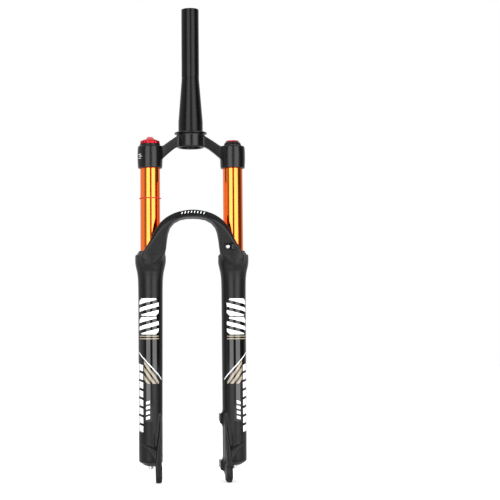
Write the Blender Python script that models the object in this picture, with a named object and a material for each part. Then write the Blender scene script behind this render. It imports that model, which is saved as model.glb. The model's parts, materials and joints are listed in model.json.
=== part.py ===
"""Air-sprung bicycle suspension fork with a tapered steerer and a lockout knob on the crown.

The origin is on the steerer's axis, at the crown race seat. +Z runs up the steerer, and the front of
the fork faces -Y. The damper leg is at -X (the rider's right) and the air leg, which carries the disc
brake posts, is at +X. Sizes below are in millimetres; every mesh is built in metres.
"""

from math import cos, pi, radians, sin

import bmesh
import bpy
from mathutils import Vector

MM = 0.001
GAP = 0.3  # between two pieces that touch

# Driving dimensions
LEG_SPACING = 133.4
CROWN_OFFSET = 17.0  # steerer axis to the stanchions, forwards
AXLE_FORWARD = 27.0  # stanchions to the wheel axle, forwards
AXLE_HEIGHT = -544.0
HUB_WIDTH = 100.0
STANCHION_RADIUS = 16.0
STANCHION_BORE = 14.0
STANCHION_TOP = -26.0
STANCHION_BOTTOM = -395.0
STEERER_TOP = 203.0
AXLE_SLOT_WIDTH = 9.5
SLOT_TILT = radians(25)  # the slot's mouth leans forwards
BRAKE_POST_SPACING = 74.2
UPPER_POST_HEIGHT = -461.5
BRAKE_POST_X = 51.0

# Crown
LUG_RADIUS = 20.1
LUG_TOP = -24.6
LUG_BOTTOM = -61.0
BOSS_RADIUS = 23.0
BOSS_BOTTOM = -25.0
RACE_SEAT_RADIUS = 26.5
STEERER_SOCKET_RADIUS = 19.3
SEAT_RECESS = 1.0  # how far the steerer's shoulder sinks into the race seat

# Lower legs
COLLAR_TOP = -200.0
COLLAR_RADIUS = 24.5
LEG_BORE = 17.4
SEAL_POCKET_RADIUS = 20.8
SEAL_POCKET_FLOOR = -225.0
LEG_EDGE = -529.0
FOOT_BOTTOM = -534.5
LEG_FLOOR = -520.5
FOOT_HOLE = 3.6
SEAL_CLEARANCE = 21.4  # keeps the arch off the wiper, the stanchion and the crown lug

# Inside the legs
ROD_RADIUS = 5.0
STUD_RADIUS = 4.0  # at the piston
FOOT_STUD_RADIUS = 3.0
PISTON_TOP = -362.7
PISTON_BOTTOM = -372.7

LEG_X = LEG_SPACING / 2
LEG_Y = -CROWN_OFFSET
AXLE_Y = LEG_Y - AXLE_FORWARD
HUB_FACE = HUB_WIDTH / 2
DROPOUT_OUTER = HUB_FACE + 10.0
SIDES = {"damper": -1, "air": 1}

ROUND = 32  # facets round a large turned piece
MEDIUM_ROUND = 24
SMALL_ROUND = 16


# Materials ---------------------------------------------------------------------------------------

def make_material(name, colour, roughness, metallic):
    material = bpy.data.materials.new(name)
    material.use_nodes = True
    shader = material.node_tree.nodes["Principled BSDF"]
    shader.inputs["Base Color"].default_value = (*colour, 1)
    shader.inputs["Roughness"].default_value = roughness
    shader.inputs["Metallic"].default_value = metallic
    return material


def make_materials():
    return {
        "satin_black_paint": make_material("satin_black_paint", (0.018, 0.018, 0.019), 0.42, 0.0),
        "black_anodised": make_material("black_anodised", (0.015, 0.015, 0.016), 0.3, 0.8),
        "gold_anodised": make_material("gold_anodised", (0.95, 0.33, 0.03), 0.15, 1.0),
        "red_anodised": make_material("red_anodised", (0.62, 0.02, 0.025), 0.25, 0.9),
        "bright_steel": make_material("bright_steel", (0.62, 0.62, 0.63), 0.25, 1.0),
        "plain_aluminium": make_material("plain_aluminium", (0.72, 0.72, 0.73), 0.35, 1.0),
        "brass": make_material("brass", (0.75, 0.53, 0.22), 0.3, 1.0),
        "black_rubber": make_material("black_rubber", (0.02, 0.02, 0.02), 0.7, 0.0),
        "red_rubber": make_material("red_rubber", (0.6, 0.06, 0.03), 0.6, 0.0),
        "foam": make_material("foam", (0.25, 0.24, 0.22), 0.95, 0.0),
        "bushing_polymer": make_material("bushing_polymer", (0.32, 0.36, 0.33), 0.5, 0.0),
    }


# Mesh tools --------------------------------------------------------------------------------------

def make_object(name, points, faces, material=None):
    """A closed mesh from points in millimetres, its normals facing out."""
    mesh = bpy.data.meshes.new(name)
    mesh.from_pydata([Vector(point) * MM for point in points], [], faces)
    work = bmesh.new()
    work.from_mesh(mesh)
    bmesh.ops.recalc_face_normals(work, faces=work.faces)
    work.to_mesh(mesh)
    work.free()
    mesh.shade_smooth()
    mesh.set_sharp_from_angle(angle=radians(35))
    piece = bpy.data.objects.new(name, mesh)
    bpy.context.scene.collection.objects.link(piece)
    if material:
        mesh.materials.append(material)
    return piece


def turned(name, profile, centre=(0, 0), material=None, facets=ROUND, axis="Z", offset=0.0):
    """A closed profile of (radius, height) turned round an axis that passes through centre.

    A profile that starts and ends at radius 0 is a solid bar, and any other is a ring. axis X, Y or Z
    says where the heights run, and offset shifts them.
    """
    solid = profile[0][0] == 0 and profile[-1][0] == 0
    points = []
    rings = []
    for radius, height in profile:
        count = 1 if radius == 0 else facets
        rings.append(range(len(points), len(points) + count))
        for step in range(count):
            angle = 2 * pi * step / facets
            across = radius * cos(angle)
            along = radius * sin(angle)
            height_now = height + offset
            if axis == "Z":
                points.append((centre[0] + across, centre[1] + along, height_now))
            elif axis == "Y":
                points.append((centre[0] + across, height_now, centre[1] + along))
            else:
                points.append((height_now, centre[0] + across, centre[1] + along))
    faces = []
    pairs = list(zip(rings, rings[1:]))
    if not solid:
        pairs.append((rings[-1], rings[0]))
    for low, high in pairs:
        if len(low) == 1 and len(high) == 1:
            continue
        for step in range(facets):
            after = (step + 1) % facets
            if len(low) == 1:
                faces.append((low[0], high[after], high[step]))
            elif len(high) == 1:
                faces.append((low[step], low[after], high[0]))
            else:
                faces.append((low[step], low[after], high[after], high[step]))
    return make_object(name, points, faces, material)


def ring(name, inner, outer, low, high, centre=(0, 0), material=None, facets=ROUND):
    """A plain ring from its two radii and two heights."""
    profile = [(inner, low), (outer, low), (outer, high), (inner, high)]
    return turned(name, profile, centre, material, facets)


def bar(name, radius, low, high, centre=(0, 0), material=None, facets=ROUND, axis="Z"):
    """A plain round bar."""
    profile = [(0, low), (radius, low), (radius, high), (0, high)]
    return turned(name, profile, centre, material, facets, axis)


def lofted(name, sections, material=None):
    """A solid through closed sections that all have the same number of points."""
    size = len(sections[0])
    points = [point for section in sections for point in section]
    faces = [tuple(range(size)), tuple(range(len(points) - size, len(points)))]
    for row in range(len(sections) - 1):
        for step in range(size):
            after = (step + 1) % size
            low = row * size
            high = low + size
            faces.append((low + step, low + after, high + after, high + step))
    return make_object(name, points, faces, material)


def extruded(name, outline, low, high, axis, material=None):
    """An outline extruded along axis: (y, z) pairs along X, or (x, y) pairs along Z."""
    if axis == "X":
        sections = [[(level, a, b) for a, b in outline] for level in (low, high)]
    else:
        sections = [[(a, b, level) for a, b in outline] for level in (low, high)]
    return lofted(name, sections, material)


def chamfered_section(low, high, chamfer):
    """Eight corners of a rectangle whose corners are cut, from its two opposite corners."""
    (u0, v0), (u1, v1) = low, high
    return [
        (u0 + chamfer, v0), (u1 - chamfer, v0), (u1, v0 + chamfer), (u1, v1 - chamfer),
        (u1 - chamfer, v1), (u0 + chamfer, v1), (u0, v1 - chamfer), (u0, v0 + chamfer),
    ]


def combine(target, tools, operation):
    """One Boolean that joins all the tools to the target, or cuts them all from it."""
    group = bpy.data.collections.new(f"{target.name} {operation.lower()}")
    bpy.context.scene.collection.children.link(group)
    for tool in tools:
        bpy.context.scene.collection.objects.unlink(tool)
        group.objects.link(tool)
        tool.hide_render = True
        tool.display_type = "WIRE"
    modifier = target.modifiers.new(operation.lower(), "BOOLEAN")
    modifier.operation = operation
    modifier.solver = "EXACT"
    modifier.operand_type = "COLLECTION"
    modifier.collection = group
    return target


def welded(piece):
    """Closes the hairline splits that a Boolean can leave between two coincident corners."""
    modifier = piece.modifiers.new("weld", "WELD")
    modifier.merge_threshold = 0.01 * MM
    return piece


def hex_nut(name, across_corners, bore, low, high, centre, material):
    """A hexagonal nut with a plain bore for the stud."""
    nut = bar(name, across_corners / 2, low, high, centre, material, 6)
    boring = bar(f"{name}_boring", bore, low - 3, high + 3, centre, facets=SMALL_ROUND)
    return combine(nut, [boring], "DIFFERENCE")


def leg_centre(side):
    return SIDES[side] * LEG_X, LEG_Y


# Steerer and crown -------------------------------------------------------------------------------

def make_steerer(materials):
    """The tapered steerer: 28.6 mm at the stem, 39.8 mm at the crown, pressed into the crown."""
    profile = [
        (12.2, STEERER_TOP), (14.3, STEERER_TOP), (14.3, 87.0), (19.9, 17.0), (19.9, GAP - SEAT_RECESS),
        (19.0, GAP - SEAT_RECESS), (19.0, BOSS_BOTTOM + 1), (16.4, BOSS_BOTTOM + 1), (16.4, 12.0), (12.2, 84.0),
    ]
    turned("steerer_tube", profile, material=materials["satin_black_paint"])


def crown_arm(side):
    """One arm of the crown, from inside the boss down to inside the lug."""
    stations = [  # distance out, front y, rear y, bottom, top
        (8.0, -11.0, 17.5, -23.0, -3.5),
        (22.0, -14.0, 13.0, -26.0, -5.5),
        (36.0, -23.5, 4.5, -36.0, -16.0),
        (46.0, -29.5, -2.0, -45.5, -24.2),
        (58.0, -32.5, -3.0, -55.0, -27.0),
    ]
    sections = []
    for out, front, rear, bottom, top in stations:
        corners = chamfered_section((front, bottom), (rear, top), 3.5)
        sections.append([(SIDES[side] * out, y, z) for y, z in corners])
    return lofted(f"{side}_arm_blank", sections)


def make_crown(materials):
    """The forged crown: race seat, boss, two arms and two lugs, bored for the three tubes."""
    boss = [
        (0, BOSS_BOTTOM), (BOSS_RADIUS - 1.5, BOSS_BOTTOM), (BOSS_RADIUS, BOSS_BOTTOM + 1.5),
        (BOSS_RADIUS, -8.0), (RACE_SEAT_RADIUS, -5.8), (RACE_SEAT_RADIUS, -3.4),
        (RACE_SEAT_RADIUS - 2.0, 0), (0, 0),
    ]
    crown = turned("crown", boss, material=materials["satin_black_paint"])
    lug = [
        (0, LUG_BOTTOM), (LUG_RADIUS - 1, LUG_BOTTOM), (LUG_RADIUS, LUG_BOTTOM + 1),
        (LUG_RADIUS, LUG_TOP - 1.5), (LUG_RADIUS - 1.5, LUG_TOP), (0, LUG_TOP),
    ]
    blanks = []
    for side in SIDES:
        blanks.append(crown_arm(side))
        blanks.append(turned(f"{side}_lug_blank", lug, leg_centre(side)))
    combine(crown, blanks, "UNION")
    socket = [
        (0, -45.0), (STEERER_SOCKET_RADIUS, -45.0), (STEERER_SOCKET_RADIUS, -SEAT_RECESS),
        (20.2, -SEAT_RECESS), (20.2, 8.0), (0, 8.0),
    ]
    borings = [turned("steerer_boring", socket)]
    for side in SIDES:
        name = f"{side}_lug_boring"
        borings.append(bar(name, STANCHION_RADIUS + GAP, LUG_BOTTOM - 5, LUG_TOP + 5, leg_centre(side)))
    combine(crown, borings, "DIFFERENCE")
    welded(crown)


# Upper assembly ----------------------------------------------------------------------------------

def make_stanchion(side, materials):
    """A hard, gold anodised tube held in the crown lug."""
    profile = [
        (STANCHION_BORE, STANCHION_BOTTOM), (STANCHION_RADIUS - 1, STANCHION_BOTTOM),
        (STANCHION_RADIUS, STANCHION_BOTTOM + 1), (STANCHION_RADIUS, STANCHION_TOP),
        (STANCHION_BORE, STANCHION_TOP),
    ]
    turned(f"{side}_stanchion", profile, leg_centre(side), materials["gold_anodised"])


CAP_SEAT = LUG_TOP + GAP
CAP_TOP = CAP_SEAT + 2.4
PLUG_RADIUS = STANCHION_BORE - GAP
SPINDLE_RADIUS = 3.0
SPINDLE_HOLE = 3.4


def make_damper_top(materials):
    """The damper's top cap and the compression valve that hangs below it."""
    centre = leg_centre("damper")
    cap = [
        (SPINDLE_HOLE, -45.0), (PLUG_RADIUS, -45.0), (PLUG_RADIUS, CAP_SEAT), (16.6, CAP_SEAT),
        (16.6, CAP_TOP), (SPINDLE_HOLE, CAP_TOP),
    ]
    turned("damper_top_cap", cap, centre, materials["black_anodised"])
    valve = [
        (SPINDLE_HOLE, -78.0), (9.0, -78.0), (9.0, -68.0), (PLUG_RADIUS, -66.0), (PLUG_RADIUS, -58.0),
        (9.5, -56.0), (9.5, -45.3), (SPINDLE_HOLE, -45.3),
    ]
    turned("compression_valve", valve, centre, materials["plain_aluminium"], MEDIUM_ROUND)


def make_lockout(materials):
    """The red knob with a finger ridge from front to back, its spindle, and the screw that holds it."""
    centre = leg_centre("damper")
    base = CAP_TOP + GAP
    knob = [
        (0, base), (15.6, base), (16.1, base + 0.6), (16.1, base + 4.2), (15.0, base + 5.6),
        (10.5, base + 7.4), (5.5, base + 8.3), (0, base + 8.6),
    ]
    piece = turned("lockout_knob", knob, centre, materials["red_anodised"])
    ridge_outline = [
        (-13.0, base + 5.0), (-9.0, base + 9.6), (-4.5, base + 12.4), (4.5, base + 12.4),
        (9.0, base + 9.6), (13.0, base + 5.0), (9.0, base + 3.0), (-9.0, base + 3.0),
    ]
    sections = []
    for x in (-3.4, 3.4):
        sections.append([(centre[0] + x, centre[1] + y, z) for y, z in ridge_outline])
    combine(piece, [lofted("ridge_blank", sections)], "UNION")
    pocket = [(0, base + 7.0), (2.2, base + 7.0), (2.2, base + 20.0), (0, base + 20.0)]
    combine(piece, [turned("screw_boring", pocket, centre, facets=SMALL_ROUND)], "DIFFERENCE")
    bar("lockout_screw", 1.8, base + 7.3, base + 11.6, centre, materials["bright_steel"], 12)
    spindle = [
        (0, -74.0), (2.0, -74.0), (SPINDLE_RADIUS, -72.0), (SPINDLE_RADIUS, base - GAP),
        (0, base - GAP),
    ]
    turned("lockout_spindle", spindle, centre, materials["bright_steel"], SMALL_ROUND)


def make_air_top(materials):
    """The air side's top cap, its valve and the red cap that screws over the valve."""
    centre = leg_centre("air")
    flange_top = CAP_SEAT + 6.2
    cap = [
        (4.4, -42.0), (PLUG_RADIUS, -42.0), (PLUG_RADIUS, CAP_SEAT), (14.6, CAP_SEAT),
        (14.6, flange_top - 1.2), (13.4, flange_top), (4.4, flange_top),
    ]
    turned("air_top_cap", cap, centre, materials["black_anodised"])
    valve = [
        (0, -46.0), (2.6, -46.0), (4.0, -44.0), (4.0, flange_top + 0.6), (2.6, flange_top + 1.6),
        (0, flange_top + 1.6),
    ]
    turned("air_valve", valve, centre, materials["brass"], SMALL_ROUND)
    low = flange_top + GAP
    valve_cap = [
        (0, low + 1.8), (4.4, low + 1.8), (4.4, low), (10.6, low), (11.0, low + 0.5),
        (11.0, low + 1.8), (9.8, low + 3.0), (5.0, low + 3.5), (0, low + 3.6),
    ]
    turned("air_valve_cap", valve_cap, centre, materials["red_anodised"], MEDIUM_ROUND)


def make_seal_head(side, materials):
    """The guide that closes the stanchion's lower end round the rod, and its spring clip."""
    head = [
        (ROD_RADIUS + GAP, -392.7), (PLUG_RADIUS, -392.7), (PLUG_RADIUS, -381.0),
        (ROD_RADIUS + GAP, -381.0),
    ]
    centre = leg_centre(side)
    turned(f"{side}_seal_head", head, centre, materials["black_anodised"], MEDIUM_ROUND)
    ring(f"{side}_circlip", 11.5, PLUG_RADIUS, -394.4, -393.1, centre, materials["bright_steel"], MEDIUM_ROUND)


def make_sag_ring(materials):
    """The thin rubber ring that the rider pushes down to read the sag."""
    profile = [(16.25, -109.9), (17.1, -110.1), (17.6, -109.3), (17.1, -108.5), (16.25, -108.7)]
    turned("sag_ring", profile, leg_centre("damper"), materials["red_rubber"])


# Lower assembly ----------------------------------------------------------------------------------

def leg_blank(side):
    """The outside of one leg: seal collar, taper, barrel and domed foot."""
    profile = [
        (0, FOOT_BOTTOM), (8.0, FOOT_BOTTOM), (15.0, FOOT_BOTTOM + 2.0), (18.8, LEG_EDGE),
        (19.1, LEG_EDGE + 3), (19.6, -250.0), (20.5, -241.0), (23.6, -227.0), (COLLAR_RADIUS, -219.0),
        (COLLAR_RADIUS, COLLAR_TOP - 2.5), (COLLAR_RADIUS - 2.2, COLLAR_TOP), (0, COLLAR_TOP),
    ]
    return turned(f"{side}_leg_blank", profile, leg_centre(side))


def arch_blank():
    """The arch that ties the legs together in front of the stanchions."""
    stations = [  # outer edge (x, z), inner edge (x, z), front y, rear y
        ((76.0, -214.0), (47.0, -230.0), -36.0, -14.0),
        ((79.0, -199.0), (42.4, -208.0), -42.8, -30.0),
        ((73.0, -186.0), (41.6, -192.0), -46.2, -36.0),
        ((66.0, -174.5), (40.3, -179.0), -49.0, -38.4),
        ((59.5, -161.5), (38.4, -168.0), -51.4, -38.4),
        ((52.0, -149.8), (35.4, -159.5), -53.4, -38.4),
        ((42.0, -141.2), (29.2, -152.0), -55.0, -38.4),
        ((30.0, -135.0), (20.0, -147.0), -56.0, -38.4),
        ((15.0, -131.2), (10.0, -145.0), -56.6, -38.4),
        ((0.0, -129.8), (0.0, -144.6), -56.8, -38.4),
    ]
    mirrored = [((-o[0], o[1]), (-i[0], i[1]), front, rear) for o, i, front, rear in stations[-2::-1]]
    sections = []
    for outer, inner, front, rear in stations + mirrored:
        outer = Vector(outer)
        inner = Vector(inner)
        corners = chamfered_section((0, front), ((outer - inner).length, rear), 2.4)
        direction = (outer - inner).normalized()
        section = []
        for across, y in corners:
            place = inner + direction * across
            section.append((place.x, y, place.y))
        sections.append(section)
    return lofted("arch_blank", sections)


def dropout_blank(side):
    """The plate that carries the axle: (distance in front of the leg, height over the axle)."""
    outline = [
        (14.0, 74.0), (18.5, 58.0), (20.8, 46.0), (24.5, 34.0), (29.5, 25.0), (34.5, 17.0),
        (39.0, 8.5), (41.3, 0.0), (41.3, -6.0), (38.5, -10.5), (30.0, -14.5), (24.5, -15.3),
        (18.5, -13.5), (12.5, -9.0), (6.5, -2.0), (1.0, 6.0), (-6.0, 14.0), (-8.0, 30.0), (0.0, 74.0),
    ]
    flat = [(LEG_Y - forward, AXLE_HEIGHT + height) for forward, height in outline]
    sign = SIDES[side]
    return extruded(f"{side}_dropout_blank", flat, sign * HUB_FACE, sign * DROPOUT_OUTER, "X")


def dropout_borings(side):
    """The open slot for the axle, and the round recess that keeps a quick release in place."""
    sign = SIDES[side]
    half = AXLE_SLOT_WIDTH / 2
    outline = []
    for step in range(9):
        angle = SLOT_TILT + pi * step / 8
        outline.append((AXLE_Y + half * cos(angle), AXLE_HEIGHT + half * sin(angle)))
    reach = 30.0
    run = Vector((-sin(SLOT_TILT), -cos(SLOT_TILT))) * reach
    for end in (outline[-1], outline[0]):
        outline.append((end[0] + run.x, end[1] + run.y))
    slot = extruded(f"{side}_slot_cutter", outline, sign * (HUB_FACE - 8), sign * (DROPOUT_OUTER + 8), "X")
    recess = bar(
        f"{side}_recess_cutter", 11.0, sign * (DROPOUT_OUTER - 2.5), sign * (DROPOUT_OUTER + 9),
        (AXLE_Y, AXLE_HEIGHT), axis="X",
    )
    return [slot, recess]


POST_FACE_Y = 17.5
LOWER_POST_HEIGHT = UPPER_POST_HEIGHT - BRAKE_POST_SPACING


def post_blank(name, height, root_low, root_high):
    """One brake post: a boss that widens down into the back of the leg."""
    stations = [  # y, inner x, outer x, bottom and top from the post's own height
        (LEG_Y + 1, 51.0, 59.0, root_low, root_high),
        (LEG_Y + 13, 48.2, 58.6, 0.6 * root_low, 0.7 * root_high),
        (LEG_Y + 23, 44.6, 58.0, -7.0, 7.4),
        (POST_FACE_Y, 44.0, 58.0, -6.4, 6.4),
    ]
    sections = []
    for y, inner, outer, bottom, top in stations:
        corners = chamfered_section((inner, height + bottom), (outer, height + top), 1.2)
        sections.append([(x, y, z) for x, z in corners])
    return lofted(name, sections)


def brake_post_blanks():
    """Two posts behind the air leg, and the web that ties the lower one to the dropout."""
    low = LOWER_POST_HEIGHT
    web = [
        (POST_FACE_Y - 4, low - 2.0), (POST_FACE_Y - 5, low - 6.0), (2.0, low - 10.0),
        (-10.0, low - 14.0), (AXLE_Y + 18, AXLE_HEIGHT - 14.5), (AXLE_Y + 12, AXLE_HEIGHT + 8),
        (LEG_Y + 8, low + 12),
    ]
    return [
        post_blank("upper_post_blank", UPPER_POST_HEIGHT, -24.0, 17.0),
        post_blank("lower_post_blank", low, -4.0, 25.0),
        extruded("web_blank", web, HUB_FACE + 0.5, HUB_FACE + 8.0, "X"),
    ]


def brake_post_borings():
    """The M6 holes of the two posts."""
    borings = []
    for name, height in (("upper", UPPER_POST_HEIGHT), ("lower", LOWER_POST_HEIGHT)):
        cutter = bar(
            f"{name}_post_boring", 2.6, POST_FACE_Y - 16, POST_FACE_Y + 6, (BRAKE_POST_X, height),
            facets=12, axis="Y",
        )
        borings.append(cutter)
    return borings


def leg_boring(side):
    """The stepped bore of one leg, open at the top and down through the foot."""
    profile = [
        (0, FOOT_BOTTOM - 8), (FOOT_HOLE, FOOT_BOTTOM - 8), (FOOT_HOLE, LEG_FLOOR),
        (LEG_BORE, LEG_FLOOR), (LEG_BORE, SEAL_POCKET_FLOOR), (SEAL_POCKET_RADIUS, SEAL_POCKET_FLOOR),
        (SEAL_POCKET_RADIUS, COLLAR_TOP - GAP), (SEAL_CLEARANCE, COLLAR_TOP - GAP),
        (SEAL_CLEARANCE, -100.0), (0, -100.0),
    ]
    return turned(f"{side}_leg_boring", profile, leg_centre(side))


GUIDE_X = 56.0
GUIDE_HEIGHT = -189.0
GUIDE_FACE_Y = -50.0


def make_lowers(materials):
    """The one-piece magnesium casting: both legs, the arch, the dropouts and the brake posts."""
    casting = leg_blank("damper")
    casting.name = "lowers_casting"
    casting.data.materials.append(materials["satin_black_paint"])
    additions = [leg_blank("air"), arch_blank()]
    additions += [dropout_blank(side) for side in SIDES]
    additions += brake_post_blanks()
    guide_boss = bar(
        "guide_boss_blank", 5.2, GUIDE_FACE_Y, -40.0, (GUIDE_X, GUIDE_HEIGHT), facets=16, axis="Y"
    )
    additions.append(guide_boss)
    combine(casting, additions, "UNION")
    cuts = []
    for side in SIDES:
        cuts.append(leg_boring(side))
        cuts += dropout_borings(side)
    cuts += brake_post_borings()
    combine(casting, cuts, "DIFFERENCE")
    welded(casting)


def make_leg_seals(side, materials):
    """Wiper, oil foam and the two bushings that the stanchion slides in."""
    centre = leg_centre(side)
    wiper = [
        (STANCHION_RADIUS + GAP, -215.4), (20.4, -215.4), (20.4, COLLAR_TOP + GAP),
        (21.0, COLLAR_TOP + GAP), (21.0, COLLAR_TOP + 2.2), (19.2, COLLAR_TOP + 3.0),
        (18.4, COLLAR_TOP + 5.8), (STANCHION_RADIUS + GAP, COLLAR_TOP + 6.2),
    ]
    turned(f"{side}_wiper_seal", wiper, centre, materials["black_rubber"])
    ring(f"{side}_foam_ring", 16.5, 20.4, -224.7, -215.8, centre, materials["foam"], MEDIUM_ROUND)
    for name, high in (("upper", -226.0), ("lower", -340.0)):
        ring(
            f"{side}_{name}_bushing", STANCHION_RADIUS + 0.15, LEG_BORE - 0.25, high - 15, high,
            centre, materials["bushing_polymer"], MEDIUM_ROUND,
        )


def make_rod(side, materials):
    """The rod that is bolted to the foot and carries the piston inside the stanchion."""
    centre = leg_centre(side)
    rod = [
        (0, FOOT_BOTTOM - 6.2), (FOOT_STUD_RADIUS, FOOT_BOTTOM - 6.2),
        (FOOT_STUD_RADIUS, LEG_FLOOR + GAP), (ROD_RADIUS, LEG_FLOOR + GAP),
        (ROD_RADIUS, PISTON_BOTTOM - GAP), (STUD_RADIUS, PISTON_BOTTOM - GAP), (STUD_RADIUS, -357.4),
        (0, -357.4),
    ]
    turned(f"{side}_rod", rod, centre, materials["bright_steel"], SMALL_ROUND)
    hex_nut(
        f"{side}_piston_nut", 14.0, STUD_RADIUS + GAP, PISTON_TOP + GAP, -358.0, centre,
        materials["bright_steel"],
    )
    ring(
        f"{side}_top_out_bumper", ROD_RADIUS + GAP, 9.0, -380.6, PISTON_BOTTOM - GAP, centre,
        materials["black_rubber"], SMALL_ROUND,
    )
    ring(
        f"{side}_bottom_out_bumper", ROD_RADIUS + GAP, 12.0, LEG_FLOOR + GAP, LEG_FLOOR + 5.5, centre,
        materials["black_rubber"], SMALL_ROUND,
    )
    foot_bore = FOOT_STUD_RADIUS + GAP
    ring(
        f"{side}_foot_washer", foot_bore, 5.8, FOOT_BOTTOM - 1.3, FOOT_BOTTOM - GAP, centre,
        materials["plain_aluminium"], SMALL_ROUND,
    )
    hex_nut(
        f"{side}_foot_nut", 10.4, foot_bore, FOOT_BOTTOM - 5.6, FOOT_BOTTOM - 1.6, centre,
        materials["bright_steel"],
    )


def make_pistons(materials):
    """A grooved piston on each rod, with the ring that seals it to the stanchion."""
    seals = {"damper": "damper_glide_ring", "air": "air_piston_seal"}
    bore = STUD_RADIUS + GAP
    for side in SIDES:
        centre = leg_centre(side)
        piston = [
            (bore, PISTON_BOTTOM), (13.3, PISTON_BOTTOM), (13.3, -369.6), (11.0, -369.6),
            (11.0, -365.8), (13.3, -365.8), (13.3, PISTON_TOP), (bore, PISTON_TOP),
        ]
        turned(f"{side}_piston", piston, centre, materials["plain_aluminium"], MEDIUM_ROUND)
        ring(seals[side], 11.3, PLUG_RADIUS, -369.3, -366.1, centre, materials["black_rubber"], MEDIUM_ROUND)


def make_hose_guide(materials):
    """The clip in front of the arch that holds the brake hose, and its bolt."""
    back = GUIDE_FACE_Y - GAP
    front = back - 1.8
    loop_x = GUIDE_X + 7.2
    loop_y = back - 2.6
    inner = 3.05
    outer = 4.3
    outline = [(GUIDE_X - 5.0, back), (GUIDE_X - 5.0, front)]
    turns = 12
    start = radians(172)
    sweep = radians(278)
    for step in range(turns + 1):
        angle = start + sweep * step / turns
        outline.append((loop_x + outer * cos(angle), loop_y + outer * sin(angle)))
    for step in range(turns + 1):
        angle = start + sweep * (1 - step / turns)
        outline.append((loop_x + inner * cos(angle), loop_y + inner * sin(angle)))
    outline[-1] = (loop_x - inner * 0.98, back)
    guide = extruded(
        "hose_guide", outline, GUIDE_HEIGHT - 4.0, GUIDE_HEIGHT + 4.0, "Z", materials["black_anodised"]
    )
    hole = bar("guide_boring", 2.4, front - 5, back + 5, (GUIDE_X - 1, GUIDE_HEIGHT), facets=12, axis="Y")
    combine(guide, [hole], "DIFFERENCE")
    head = [
        (0, back + 0.0), (2.1, back + 0.0), (2.1, front - GAP), (3.6, front - GAP),
        (3.6, front - 2.2), (2.4, front - 3.2), (0, front - 3.2),
    ]
    turned(
        "hose_guide_bolt", head, (GUIDE_X - 1, GUIDE_HEIGHT), materials["bright_steel"], 16, axis="Y"
    )


def clear_scene():
    for piece in list(bpy.data.objects):
        bpy.data.objects.remove(piece)


def main():
    clear_scene()
    materials = make_materials()
    make_steerer(materials)
    make_crown(materials)
    make_damper_top(materials)
    make_lockout(materials)
    make_air_top(materials)
    make_sag_ring(materials)
    for side in SIDES:
        make_stanchion(side, materials)
        make_seal_head(side, materials)
        make_leg_seals(side, materials)
        make_rod(side, materials)
    make_pistons(materials)
    make_lowers(materials)
    make_hose_guide(materials)


main()
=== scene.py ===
"""Air-sprung bicycle suspension fork with a tapered steerer and a lockout knob: the visual model.

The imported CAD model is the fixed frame. Sizes are in millimetres in the frame's own axes: +Z runs up
the steerer from the crown race seat, and the front of the fork faces -Y. Cast and forged pieces are
shaped as distance fields, so their fillets blend as in a real casting, and are then meshed.
"""

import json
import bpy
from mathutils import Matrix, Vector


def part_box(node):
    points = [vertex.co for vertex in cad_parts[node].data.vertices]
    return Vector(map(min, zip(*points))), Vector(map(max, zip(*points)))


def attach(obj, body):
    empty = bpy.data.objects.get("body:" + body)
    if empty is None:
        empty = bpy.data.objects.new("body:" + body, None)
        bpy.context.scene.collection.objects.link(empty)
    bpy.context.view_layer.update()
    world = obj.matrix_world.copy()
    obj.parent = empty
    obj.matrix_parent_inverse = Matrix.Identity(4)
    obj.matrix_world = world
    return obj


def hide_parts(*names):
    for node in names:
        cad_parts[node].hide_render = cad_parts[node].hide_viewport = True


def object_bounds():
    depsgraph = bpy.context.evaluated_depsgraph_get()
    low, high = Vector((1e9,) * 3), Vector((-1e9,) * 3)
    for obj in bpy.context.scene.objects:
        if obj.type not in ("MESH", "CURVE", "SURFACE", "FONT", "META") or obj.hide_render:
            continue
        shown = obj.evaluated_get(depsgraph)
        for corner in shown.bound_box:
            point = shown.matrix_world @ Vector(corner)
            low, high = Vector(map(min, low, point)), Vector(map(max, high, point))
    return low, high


bl_info = {
    "name": "Suspension Fork",
    "version": (1, 0, 0),
    "blender": (4, 5, 0),
    "location": "3D View > Sidebar > Fork",
    "description": "Builds an air-sprung bicycle suspension fork piece by piece round its CAD frame",
    "category": "Add Mesh",
}

from math import atan2, cos, pi, radians, sin, sqrt

import bmesh
import bpy
import numpy as np
import openvdb
from bpy.props import FloatProperty, FloatVectorProperty, PointerProperty
from mathutils import Matrix, Vector

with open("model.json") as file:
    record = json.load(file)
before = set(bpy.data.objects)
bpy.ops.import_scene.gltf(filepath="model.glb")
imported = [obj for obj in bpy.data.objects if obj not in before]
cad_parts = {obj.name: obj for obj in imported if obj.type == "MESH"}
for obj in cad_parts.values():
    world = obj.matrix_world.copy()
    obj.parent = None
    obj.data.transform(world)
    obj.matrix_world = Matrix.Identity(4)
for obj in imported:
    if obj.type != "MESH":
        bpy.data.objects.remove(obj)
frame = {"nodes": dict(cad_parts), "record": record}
CAD_BOX = [list(corner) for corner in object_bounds()]

MM = 0.001
ROUND = 128  # facets round a large turned piece
SIDES = {"damper": -1, "air": 1}


# Positions read from the frame -------------------------------------------------------------------

def node_box(name):
    """A CAD node's lowest and highest corners, in millimetres."""
    low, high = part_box(name)
    return low / MM, high / MM


LEG_X, LEG_Y, _ = sum(node_box("air_stanchion"), Vector()) / 2
AXLE_Y = LEG_Y - 27.0  # the dropouts carry the axle this far ahead of the legs
AXLE_Z = -544.0
STANCHION_RADIUS = 16.0
FOOT_BOTTOM = -534.5


def leg_axis(side):
    """A point on a leg's axis, at the height of the race seat."""
    return (SIDES[side] * LEG_X, LEG_Y, 0.0)


# Settings a user would change --------------------------------------------------------------------

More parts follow.
